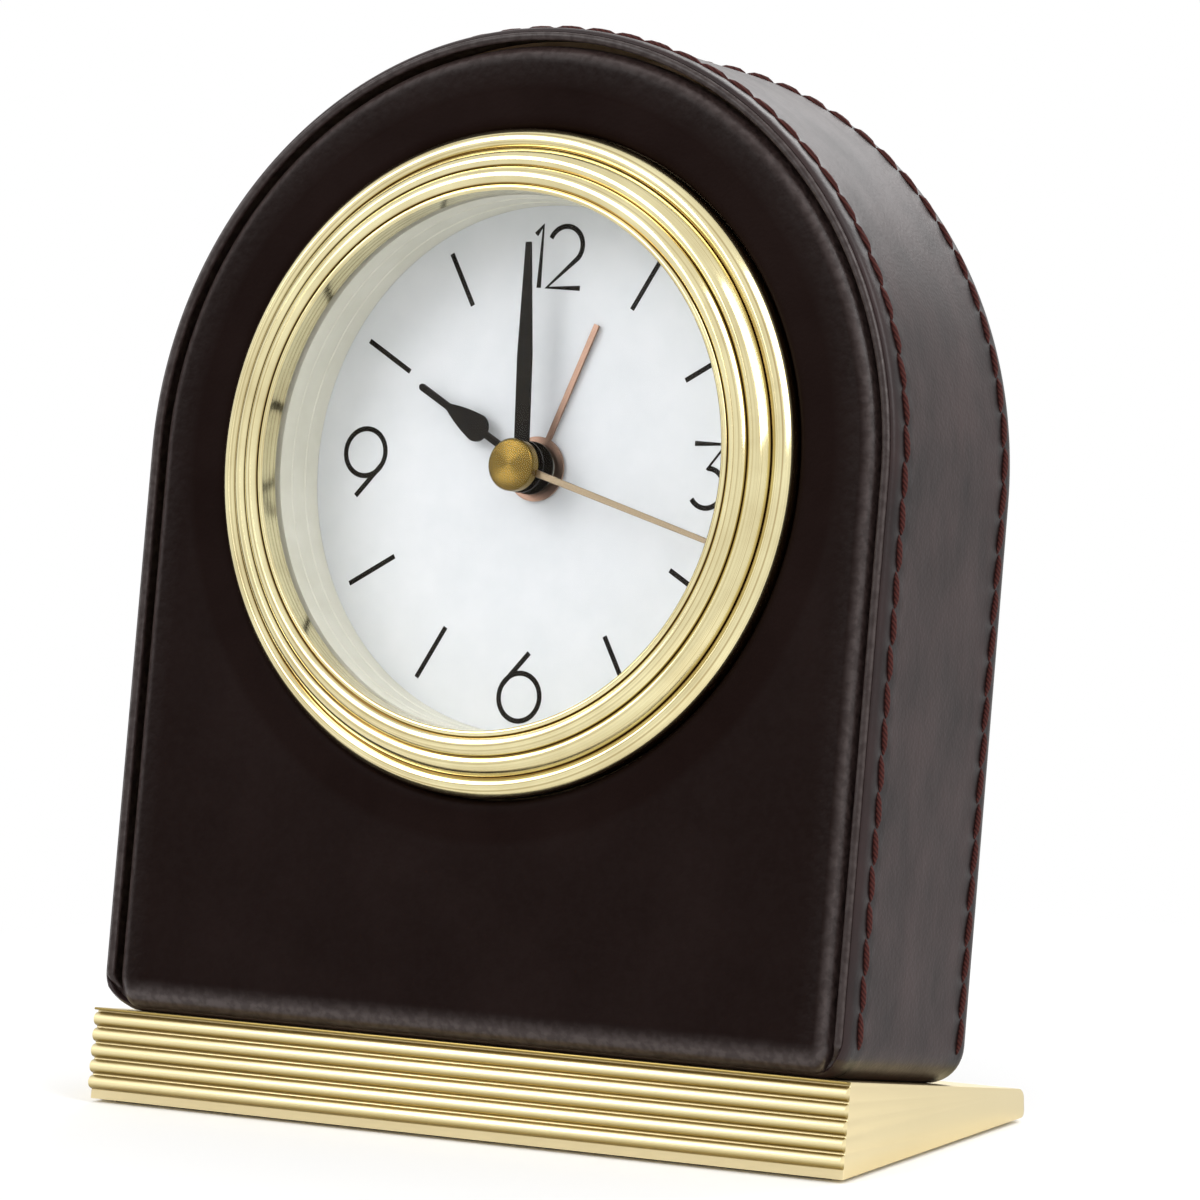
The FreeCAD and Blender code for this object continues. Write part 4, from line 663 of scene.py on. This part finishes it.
def make_cover_screws():
    """Three small round-headed screws with a recess, which hold the rear cover."""
    screws = []
    for index, angle in enumerate(SCREW_ANGLES):
        deselect()
        bpy.ops.mesh.primitive_cylinder_add(
            vertices=24, radius=SCREW_RADIUS, depth=SCREW_HEIGHT, rotation=(QUARTER, 0, 0),
        )
        apply_place()
        screw = begin(f"screw_{index}")
        choose(screw, lambda at, way: way.y > 0.9, "FACE")
        bpy.ops.mesh.bevel(offset=0.25, segments=3, affect="EDGES")
        choose(screw, lambda at, way: way.y > 0.99, "FACE")
        bpy.ops.mesh.inset(thickness=0.5)
        push((0, -SCREW_RECESS, 0))
        bpy.ops.object.mode_set(mode="OBJECT")
        turn = math.radians(angle)
        spot = (math.cos(turn) * SCREW_CIRCLE, SCREW_DEPTH, math.sin(turn) * SCREW_CIRCLE)
        screw.matrix_world = Matrix.Translation(spot)
        screws.append(screw)
    return set_down(joined(screws, "cover_screws"), DIAL, "case", 30)


# Materials

def srgb(text):
    """A colour written as six hexadecimal digits, as the linear values that a shader takes."""
    values = []
    for start in (0, 2, 4):
        value = int(text[start:start + 2], 16) / 255
        values.append(value / 12.92 if value < 0.04045 else ((value + 0.055) / 1.055) ** 2.4)
    return (*values, 1.0)


def feed(tree, socket, value):
    """Link what comes from a node to the socket, or set a plain value on it."""
    if isinstance(value, bpy.types.NodeSocket):
        tree.links.new(value, socket)
    else:
        socket.default_value = value


def new_group(name, inputs, outputs):
    group = bpy.data.node_groups.new(name, "ShaderNodeTree")
    for label, value in inputs:
        socket = group.interface.new_socket(label, in_out="INPUT", socket_type="NodeSocketFloat")
        socket.default_value = value
    for label in outputs:
        group.interface.new_socket(label, in_out="OUTPUT", socket_type="NodeSocketFloat")
    return group, group.nodes.new("NodeGroupInput"), group.nodes.new("NodeGroupOutput")


def math_node(tree, operation, first, second=None, clamp=False):
    node = tree.nodes.new("ShaderNodeMath")
    node.operation = operation
    node.use_clamp = clamp
    feed(tree, node.inputs[0], first)
    if second is not None:
        feed(tree, node.inputs[1], second)
    return node.outputs[0]


def times(tree, first, second):
    return math_node(tree, "MULTIPLY", first, second)


def plus(tree, first, second):
    return math_node(tree, "ADD", first, second)


def larger(tree, first, second):
    return math_node(tree, "MAXIMUM", first, second)


def distance_to(tree, value, place):
    """How far a value lies from a place, without its sign."""
    return math_node(tree, "ABSOLUTE", math_node(tree, "SUBTRACT", value, place))


def length_of(tree, first, second):
    """Length of the diagonal over two sides."""
    squares = plus(tree, times(tree, first, first), times(tree, second, second))
    return math_node(tree, "SQRT", squares)


def object_point(tree):
    return tree.nodes.new("ShaderNodeTexCoord").outputs["Object"]


def local_point(tree, where):
    """Object coordinates in the leaning frame of the case, dial or base, still in metres."""
    node = tree.nodes.new("ShaderNodeMapping")
    node.vector_type = "TEXTURE"
    node.inputs["Location"].default_value = where.to_translation()
    node.inputs["Rotation"].default_value = (-LEAN, 0.0, 0.0)
    tree.links.new(object_point(tree), node.inputs["Vector"])
    return node.outputs["Vector"]


def separated(tree, vector):
    """The x, y and z of a vector."""
    node = tree.nodes.new("ShaderNodeSeparateXYZ")
    tree.links.new(vector, node.inputs["Vector"])
    return tuple(node.outputs[axis] for axis in "XYZ")


def group_node(tree, group):
    node = tree.nodes.new("ShaderNodeGroup")
    node.node_tree = group
    return node


def noise(tree, scale, detail, roughness, vector=None):
    node = tree.nodes.new("ShaderNodeTexNoise")
    feed(tree, node.inputs["Scale"], scale)
    node.inputs["Detail"].default_value = detail
    node.inputs["Roughness"].default_value = roughness
    tree.links.new(vector or object_point(tree), node.inputs["Vector"])
    return node.outputs["Fac"]


def make_grain_group():
    """Leather grain: fine cells broken by soft creases, with a slow change of tone."""
    inputs = [("Cells", 2300.0), ("Creases", 420.0), ("Crease Depth", 0.6)]
    group, given, result = new_group("leather_grain", inputs, ["Height", "Tone"])
    cells = group.nodes.new("ShaderNodeTexVoronoi")
    cells.feature = "SMOOTH_F1"
    cells.inputs["Smoothness"].default_value = 0.6
    group.links.new(object_point(group), cells.inputs["Vector"])
    group.links.new(given.outputs["Cells"], cells.inputs["Scale"])
    creases = noise(group, given.outputs["Creases"], 5.0, 0.6)
    depth = times(group, creases, given.outputs["Crease Depth"])
    height = math_node(group, "SUBTRACT", depth, cells.outputs["Distance"])
    tone = noise(group, 60.0, 4.0, 0.6)
    group.links.new(height, result.inputs["Height"])
    group.links.new(tone, result.inputs["Tone"])
    return group


def make_wear_group():
    """Fine scratches and smudges: a slow cloud and a stretched hairline pattern."""
    inputs = [("Cloud Scale", 90.0), ("Hair Scale", 900.0)]
    group, given, result = new_group("fine_wear", inputs, ["Cloud", "Hairlines"])
    cloud = noise(group, given.outputs["Cloud Scale"], 4.0, 0.55)
    stretch = group.nodes.new("ShaderNodeMapping")
    stretch.inputs["Scale"].default_value = (0.04, 1.0, 1.0)
    group.links.new(object_point(group), stretch.inputs["Vector"])
    hair = noise(group, given.outputs["Hair Scale"], 2.0, 0.6, stretch.outputs["Vector"])
    group.links.new(cloud, result.inputs["Cloud"])
    group.links.new(hair, result.inputs["Hairlines"])
    return group


GRAIN = make_grain_group()
WEAR = make_wear_group()


def new_finish(name, colour, roughness, metallic=0.0, **extra):
    """A material with one main shader, whose plain values are set on its own sockets."""
    material = bpy.data.materials.new(name)
    material.use_nodes = True
    shader = material.node_tree.nodes["Principled BSDF"]
    shader.inputs["Base Color"].default_value = colour
    shader.inputs["Roughness"].default_value = roughness
    shader.inputs["Metallic"].default_value = metallic
    for label, value in extra.items():
        shader.inputs[label.replace("_", " ")].default_value = value
    return material, material.node_tree, shader


def mixed(tree, fac, dark, light):
    node = tree.nodes.new("ShaderNodeMix")
    node.data_type = "RGBA"
    tree.links.new(fac, node.inputs["Factor"])
    feed(tree, node.inputs["A"], dark)
    feed(tree, node.inputs["B"], light)
    return node.outputs["Result"]


def ranged(tree, value, low, high, to_low=0.0, to_high=1.0):
    """A value from low to high brought to another range, and held inside it."""
    node = tree.nodes.new("ShaderNodeMapRange")
    tree.links.new(value, node.inputs["Value"])
    limits = {"From Min": low, "From Max": high, "To Min": to_low, "To Max": to_high}
    for label, number in limits.items():
        node.inputs[label].default_value = number
    return node.outputs["Result"]


def bumped(tree, shader, height, distance, strength):
    """Bump the shader's normal, with the distance in metres."""
    bump = tree.nodes.new("ShaderNodeBump")
    bump.inputs["Distance"].default_value = distance
    bump.inputs["Strength"].default_value = strength
    tree.links.new(height, bump.inputs["Height"])
    tree.links.new(bump.outputs["Normal"], shader.inputs["Normal"])


def leather(name, dark, light, roughness, gloss, crease, stitched=False):
    """Smooth dyed leather: streaked and drawn in at its stitches with painted shade along them, or
    with a rolled, creased rim that is painted lighter as a highlight.
    """
    material, tree, shader = new_finish(name, dark, roughness, 0.0, Coat_Roughness=0.38)
    shader.inputs["Specular IOR Level"].default_value = gloss
    grain = group_node(tree, GRAIN)
    grain.inputs["Crease Depth"].default_value = crease
    tone = ranged(tree, grain.outputs["Tone"], 0.3, 0.7)
    waves = times(tree, noise(tree, 110.0, 2.0, 0.5), 5.0)
    height = plus(tree, grain.outputs["Height"], waves)
    if stitched:
        streaks = band_streaks(tree)
        near, beat = stitch_rows(tree)
        tone = plus(tree, times(tree, tone, 0.3), times(tree, streaks, 0.55))
        # Painted shade: the band's colour is darkened near each row of stitches.
        tone = math_node(tree, "SUBTRACT", tone, times(tree, near, 0.7), True)
        dimples = times(tree, times(tree, near, beat), 3.0)
        height = plus(tree, plus(tree, height, dimples), times(tree, streaks, 1.2))
        rough = ranged(tree, streaks, 0.0, 1.0, roughness + 0.06, roughness - 0.04)
    else:
        roll, rim = panel_roll(tree)
        folds = noise(tree, 1050.0, 2.0, 0.5)
        fold_gloss_and_painted_light = ranged(tree, folds, 0.4, 0.6, 0.68, 1.0)
        # Painted highlight: the rolled rim is painted lighter, most on the tops of its folds and
        # less in the folds; elsewhere the random tone is kept faint.
        roll = times(tree, roll, fold_gloss_and_painted_light)
        tone = larger(tree, times(tree, tone, 0.12), roll)
        height = plus(tree, height, times(tree, times(tree, folds, rim), 30.0))
        sheen = times(tree, times(tree, rim, fold_gloss_and_painted_light), 0.15)
        tree.links.new(larger(tree, sheen, roll), shader.inputs["Coat Weight"])
        rough = ranged(tree, tone, 0.0, 1.0, roughness + 0.06, roughness - 0.05)
    tree.links.new(mixed(tree, tone, dark, light), shader.inputs["Base Color"])
    tree.links.new(rough, shader.inputs["Roughness"])
    bumped(tree, shader, height, 0.00003, 0.6)
    return material


def band_map(tree):
    return tree.nodes.new("ShaderNodeUVMap").outputs["UV"]


def band_streaks(tree):
    """Soft streaks that run a little slanted along the band, on its own map in centimetres."""
    turn = tree.nodes.new("ShaderNodeMapping")
    turn.inputs["Rotation"].default_value = (0.0, 0.0, 0.3)
    turn.inputs["Scale"].default_value = (0.7, 1.5, 1.0)
    tree.links.new(band_map(tree), turn.inputs["Vector"])
    return ranged(tree, noise(tree, 1.4, 4.0, 0.55, turn.outputs["Vector"]), 0.3, 0.7)


def stitch_rows(tree):
    """Nearness to a row of stitches and their beat along it, from the band's map in centimetres;
    the leather is dented and painted with shade near the rows.
    """
    along, depth, _ = separated(tree, band_map(tree))
    beat = math_node(tree, "COSINE", times(tree, along, 2 * math.pi / (STITCH_PITCH / 10)))
    rows = []
    for row in (STITCH_DEPTH, REAR_STITCH_DEPTH):
        rows.append(ranged(tree, distance_to(tree, depth, row / 10), 0.03, 0.2, 1.0, 0.0))
    return larger(tree, *rows), beat


def panel_roll(tree):
    """How far a spot lies on the panel's rolled edge, which is painted lighter as a highlight, and
    in the wider rim that creases.

    Both fade out behind the front panel, so that the rear one stays plain, and the roll leaves
    out the dish round the bezel.
    """
    x, y, z = separated(tree, local_point(tree, DIAL))
    outside_dish = ranged(tree, length_of(tree, x, z), 43.5 * MM, 44.5 * MM)
    sunk = ranged(tree, y, -1.1 * MM, -0.6 * MM)
    in_front = ranged(tree, y, 2.0 * MM, 4.0 * MM, 1.0, 0.0)
    roll = times(tree, times(tree, outside_dish, sunk), in_front)
    from_middle = length_of(tree, x, larger(tree, z, 0.0))
    from_side = math_node(tree, "SUBTRACT", HALF_WIDTH * MM, from_middle)
    rim = times(tree, ranged(tree, from_side, 3.0 * MM, 7.5 * MM, 1.0, 0.0), in_front)
    return roll, rim


def spun_brass():
    """Brass turned on a lathe: fine rings round the cap's own axis."""
    material, tree, shader = new_finish("cap_brass", srgb("B8963F"), 0.26, 1.0)
    rings = tree.nodes.new("ShaderNodeTexWave")
    rings.wave_type = "RINGS"
    rings.rings_direction = "Y"
    rings.inputs["Scale"].default_value = 2600.0
    rings.inputs["Distortion"].default_value = 0.4
    tree.links.new(local_point(tree, DIAL), rings.inputs["Vector"])
    colour = mixed(tree, rings.outputs["Fac"], srgb("665124"), srgb("86703A"))
    tree.links.new(colour, shader.inputs["Base Color"])
    bumped(tree, shader, rings.outputs["Fac"], 0.00002, 0.5)
    return material


def ribbed_gold():
    """Pale gold, satin on the sides; painted light and shade on the ribbed front: lighter upper rib
    halves, darker grooves, lower rib halves and foot.
    """
    material, tree, shader = new_finish("base_gold", srgb("EBDDB4"), 0.33, 1.0)
    wear = group_node(tree, WEAR)
    _, depth, height = separated(tree, local_point(tree, BASE))
    behind_ribs = (RIB_RADIUS + 0.01) * MM
    front = ranged(tree, depth, behind_ribs - 0.06 * MM, behind_ribs, 1.0, 0.0)
    first_crest = RIB_LEDGE + RIB_GAP + RIB_RADIUS * 0.72
    # Painted light and shade: each rib is painted lighter along its upper half and darker along its
    # lower half and groove, and the plain strip at the foot below the ribs is painted darker still.
    beat = times(tree, plus(tree, height, first_crest * MM), 2 * math.pi / (RIB_PITCH * MM))
    painted_rib_shading = ranged(tree, math_node(tree, "COSINE", beat), -0.9, 0.6)
    low = ranged(tree, height, -10.1 * MM, -9.6 * MM, 0.3, 1.0)
    ribs = mixed(tree, times(tree, painted_rib_shading, low), srgb("94804A"), srgb("E9DAAA"))
    side = mixed(tree, wear.outputs["Cloud"], srgb("DDCDA2"), srgb("E4D5AC"))
    tree.links.new(mixed(tree, front, side, ribs), shader.inputs["Base Color"])
    rough = ranged(tree, wear.outputs["Cloud"], 0.25, 0.75, 0.3, 0.4)
    tree.links.new(rough, shader.inputs["Roughness"])
    bumped(tree, shader, wear.outputs["Hairlines"], 0.00001, 0.08)
    return material


def turned_gold():
    """Bright plated gold with fine rings that the lathe left; dark and light streaks along the
    rings are painted reflections, and the grooves carry painted shade as darker lines.
    """
    material, tree, shader = new_finish("bezel_gold", srgb("EFE4B4"), 0.14, 1.0)
    wear = group_node(tree, WEAR)
    x, y, z = separated(tree, local_point(tree, DIAL))
    reach = length_of(tree, x, z)
    where = tree.nodes.new("ShaderNodeCombineXYZ")
    tree.links.new(plus(tree, reach, y), where.inputs["X"])
    rings = noise(tree, 2600.0, 3.0, 0.6, where.outputs["Vector"])
    # Painted reflection: the ring noise paints dark and light streaks into the gold's colour, and
    # the loop below paints shade as darker lines along the grooves between the reeds.
    fine = ranged(tree, rings, 0.33, 0.52, 0.25, 1.0)
    for groove in BEZEL_GROOVES:
        away = distance_to(tree, reach, groove * MM)
        fine = times(tree, fine, ranged(tree, away, 0.04 * MM, 0.2 * MM))
    cloud = ranged(tree, wear.outputs["Cloud"], 0.3, 0.6, 0.7, 1.0)
    colour = mixed(tree, times(tree, fine, cloud), srgb("96793E"), srgb("EFE5B6"))
    tree.links.new(colour, shader.inputs["Base Color"])
    rough = ranged(tree, wear.outputs["Cloud"], 0.25, 0.75, 0.1, 0.17)
    tree.links.new(rough, shader.inputs["Roughness"])
    bumped(tree, shader, rings, 0.00004, 0.35)
    return material


def metal(name, colour, shade, roughness, hair=0.0):
    """Bare or plated metal with a faint cloud, and brushed if it has a hair strength."""
    material, tree, shader = new_finish(name, colour, roughness, 1.0)
    wear = group_node(tree, WEAR)
    tree.links.new(mixed(tree, wear.outputs["Cloud"], shade, colour), shader.inputs["Base Color"])
    rough = ranged(tree, wear.outputs["Cloud"], 0.25, 0.75, roughness - 0.05, roughness + 0.05)
    tree.links.new(rough, shader.inputs["Roughness"])
    if hair:
        bumped(tree, shader, wear.outputs["Hairlines"], 0.00001, hair)
    return material


def plain(name, colour, shade, roughness, scale=300.0, bump=0.000006, metallic=0.0, **extra):
    """Moulded, painted or pressed stuff with a faint cloud and a fine skin."""
    material, tree, shader = new_finish(name, colour, roughness, metallic, **extra)
    cloud = noise(tree, scale, 3.0, 0.6)
    tone = mixed(tree, ranged(tree, cloud, 0.3, 0.7), shade, colour)
    tree.links.new(tone, shader.inputs["Base Color"])
    rough = ranged(tree, cloud, 0.3, 0.7, roughness - 0.04, roughness + 0.05)
    tree.links.new(rough, shader.inputs["Roughness"])
    bumped(tree, shader, noise(tree, scale * 6, 2.0, 0.5), bump, 0.5)
    return material


def thread_finish():
    """Dark red-brown thread with a slanting twist."""
    material, tree, shader = new_finish("stitch_thread", srgb("3A1614"), 0.7)
    shader.inputs["Specular IOR Level"].default_value = 0.15
    wave = tree.nodes.new("ShaderNodeTexWave")
    wave.inputs["Scale"].default_value = 900.0
    wave.inputs["Distortion"].default_value = 1.5
    wave.bands_direction = "DIAGONAL"
    tree.links.new(object_point(tree), wave.inputs["Vector"])
    colour = mixed(tree, wave.outputs["Fac"], srgb("2E1210"), srgb("4C231E"))
    tree.links.new(colour, shader.inputs["Base Color"])
    bumped(tree, shader, wave.outputs["Fac"], 0.00006, 0.8)
    return material


def glass_finish():
    """Clear flat lens: a thin surface that shows what is behind it, with a weak reflection."""
    material, tree, shader = new_finish("clear_lens", (1.0, 1.0, 1.0, 1.0), 0.02)
    shader.inputs["Transmission Weight"].default_value = 1.0
    shader.inputs["IOR"].default_value = 1.12
    cloud = noise(tree, 40.0, 2.0, 0.5)
    tree.links.new(ranged(tree, cloud, 0.3, 0.7, to_high=0.02), shader.inputs["Roughness"])
    return material


# Every finish under its name: those of the CAD's material slots, and the three of the leather
FINISHES = {
    # The panel's lighter colour serves mostly as a painted highlight on its rolled rim.
    "panel_leather": leather("panel_leather", srgb("120806"), srgb("372B29"), 0.4, 0.02, 0.9),
    "band_leather": leather("band_leather", srgb("150A0A"), srgb("332120"), 0.38, 0.3, 0.5, True),
    "stitch_thread": thread_finish(),
    "base_gold": ribbed_gold(),
    "bezel_gold": turned_gold(),
    "base_felt": plain("base_felt", srgb("33292A"), srgb("221B1C"), 0.95, 1500, 0.00005),
    "case_wood": plain("case_wood", srgb("C9A77F"), srgb("AC8960"), 0.75, 220),
    "case_board": plain("case_board", srgb("A58E70"), srgb("8C775C"), 0.85, 700),
    "case_foam": plain("case_foam", srgb("E0DCCB"), srgb("CFCAB6"), 0.95, 1800, 0.00004),
    "lens_glass": glass_finish(),
    "cup_ivory": plain("cup_ivory", srgb("EDEBDD"), srgb("E2E0CF"), 0.38, 150),
    "dial_white": plain("dial_white", srgb("E3E6EA"), srgb("DDE1E5"), 0.5, 200, 0.000002),
    "hand_black": plain(
        "hand_black", srgb("171108"), srgb("110D07"), 0.32, 500, 0.000002, Specular_IOR_Level=0.1,
    ),
    "hand_copper": metal("hand_copper", srgb("B0907E"), srgb("9C7E6C"), 0.42),
    "hand_gold": metal("hand_gold", srgb("A3927A"), srgb("8F7F68"), 0.45),
    "cap_brass": spun_brass(),
    "gear_nylon": plain("gear_nylon", srgb("F0EFE8"), srgb("DEDCD2"), 0.45),
    "arbor_brass": metal("arbor_brass", srgb("E4C878"), srgb("CDAE5C"), 0.3),
    "magnet_grey": plain("magnet_grey", srgb("5A5A60"), srgb("454549"), 0.4, 600, 0.00001, 0.8),
    "frame_plastic": plain("frame_plastic", srgb("37373A"), srgb("2B2B2E"), 0.5),
    "motor_iron": metal("motor_iron", srgb("BDBDBD"), srgb("A4A4A6"), 0.38),
    "coil_copper": metal("coil_copper", srgb("C0703A"), srgb("9C5426"), 0.4, 0.9),
    "board_green": plain("board_green", srgb("2C7A4A"), srgb("216039"), 0.4),
    "crystal_tin": metal("crystal_tin", srgb("D8D8D8"), srgb("C2C2C4"), 0.25),
    "contact_steel": metal("contact_steel", srgb("D4D4D0"), srgb("B8B8B6"), 0.28),
    "cell_wrap": plain("cell_wrap", srgb("6B6B72"), srgb("56565C"), 0.35, 260),
    "rear_plastic": plain("rear_plastic", srgb("2D2D30"), srgb("222224"), 0.48, 420, 0.00001),
}


def finish_with(piece, name):
    piece.data.materials.clear()
    piece.data.materials.append(FINISHES[name])


def dress_cad_nodes():
    """Give every node that came from the solids the finish of its own material slot."""
    slots = {part["node"]: part["material_slot"] for part in frame["record"]["subparts"]}
    for node, piece in frame["nodes"].items():
        slot = slots[node]
        name = "band_leather" if slot == "case_leather" else slot
        for place in piece.material_slots:
            place.material = FINISHES[name]
        if not piece.material_slots:
            piece.data.materials.append(FINISHES[name])


# Stage

def make_floor():
    """Plain pale floor that takes the clock's shadow and runs out into the white background."""
    deselect()
    bpy.ops.mesh.primitive_plane_add(size=6.0, location=(0, 0, 0))
    floor = bpy.context.active_object
    floor.name = "floor"
    material = bpy.data.materials.new("pale_floor")
    material.use_nodes = True
    tree = material.node_tree
    shader = tree.nodes["Principled BSDF"]
    shader.inputs["Base Color"].default_value = (0.93, 0.93, 0.93, 1.0)
    shader.inputs["Roughness"].default_value = 0.9
    shader.inputs["Specular IOR Level"].default_value = 0.1
    apart = tree.nodes.new("ShaderNodeVectorMath")
    apart.operation = "LENGTH"
    tree.links.new(object_point(tree), apart.inputs[0])
    path = tree.nodes.new("ShaderNodeLightPath")
    far = ranged(tree, apart.outputs["Value"], 0.06, 0.16)
    seen = larger(tree, path.outputs["Is Camera Ray"], path.outputs["Is Glossy Ray"])
    white = times(tree, far, seen)
    glow = tree.nodes.new("ShaderNodeEmission")
    blend = tree.nodes.new("ShaderNodeMixShader")
    tree.links.new(white, blend.inputs["Fac"])
    tree.links.new(shader.outputs["BSDF"], blend.inputs[1])
    tree.links.new(glow.outputs["Emission"], blend.inputs[2])
    tree.links.new(blend.outputs["Shader"], tree.nodes["Material Output"].inputs["Surface"])
    floor.data.materials.append(material)


def make_world():
    """White to the camera, in reflections and through the lens, and a lower level as a light."""
    world = bpy.data.worlds.new("studio")
    bpy.context.scene.world = world
    world.use_nodes = True
    tree = world.node_tree
    back = tree.nodes["Background"]
    path = tree.nodes.new("ShaderNodeLightPath")
    seen = larger(tree, path.outputs["Is Camera Ray"], path.outputs["Is Glossy Ray"])
    seen = larger(tree, seen, path.outputs["Is Transmission Ray"])
    level = ranged(tree, seen, 0.0, 1.0, 0.6, 1.0)
    back.inputs["Color"].default_value = (1.0, 1.0, 1.0, 1.0)
    tree.links.new(level, back.inputs["Strength"])


def add_softbox(name, place, size):
    """Soft rectangular light, aimed at the middle of the clock."""
    light = bpy.data.lights.new(name, "AREA")
    light.shape = "RECTANGLE"
    light.size, light.size_y = size
    light.energy = 7.0
    lamp = bpy.data.objects.new(name, light)
    bpy.context.collection.objects.link(lamp)
    lamp.location = place
    direction = Vector((0, 0, 0.06)) - Vector(place)
    lamp.rotation_euler = direction.to_track_quat("-Z", "Y").to_euler()


def make_lights():
    add_softbox("key_softbox", (-0.55, -0.75, 0.75), (0.7, 0.7))
    add_softbox("side_softbox", (0.9, -0.15, 0.75), (0.5, 0.9))
    add_softbox("rear_softbox", (0.1, 0.9, 0.8), (0.9, 0.6))


def make_camera():
    """Camera at the place from which the photograph was taken, found from the case's edges."""
    azimuth, elevation, roll = (math.radians(angle) for angle in (AZIMUTH, ELEVATION, ROLL))
    back = Vector((
        math.sin(azimuth) * math.cos(elevation),
        -math.cos(azimuth) * math.cos(elevation),
        math.sin(elevation),
    ))
    right = Vector((math.cos(azimuth), math.sin(azimuth), 0.0))
    up = back.cross(right)
    turned_right = math.cos(roll) * right + math.sin(roll) * up
    turned_up = -math.sin(roll) * right + math.cos(roll) * up
    lens = bpy.data.cameras.new("photo_camera")
    lens.sensor_width = SENSOR
    lens.lens = LENS
    camera = bpy.data.objects.new("photo_camera", lens)
    bpy.context.collection.objects.link(camera)
    place = Vector(AIM) + back * DISTANCE
    axes = Matrix((turned_right, turned_up, back)).transposed()
    camera.matrix_world = Matrix.Translation(place) @ axes.to_4x4()
    bpy.context.scene.camera = camera


dress_cad_nodes()
finish_with(make_base(), "base_gold")
finish_with(make_side_band(), "band_leather")
finish_with(make_piping(), "panel_leather")
finish_with(make_front_panel(), "panel_leather")
finish_with(make_rear_panel(), "panel_leather")
finish_with(make_stitching("front_stitching", STITCH_DEPTH, 1), "stitch_thread")
finish_with(make_stitching("rear_stitching", REAR_STITCH_DEPTH, -1), "stitch_thread")
finish_with(make_bezel(), "bezel_gold")
finish_with(make_cup(), "cup_ivory")
finish_with(make_dial_bars(), "hand_black")
finish_with(make_numbers(), "hand_black")
finish_with(make_cap(), "cap_brass")
finish_with(make_sweep_hand(), "hand_gold")
finish_with(make_cover_screws(), "motor_iron")
make_floor()
make_world()
make_lights()
make_camera()
bpy.context.scene.view_settings.view_transform = "Standard"
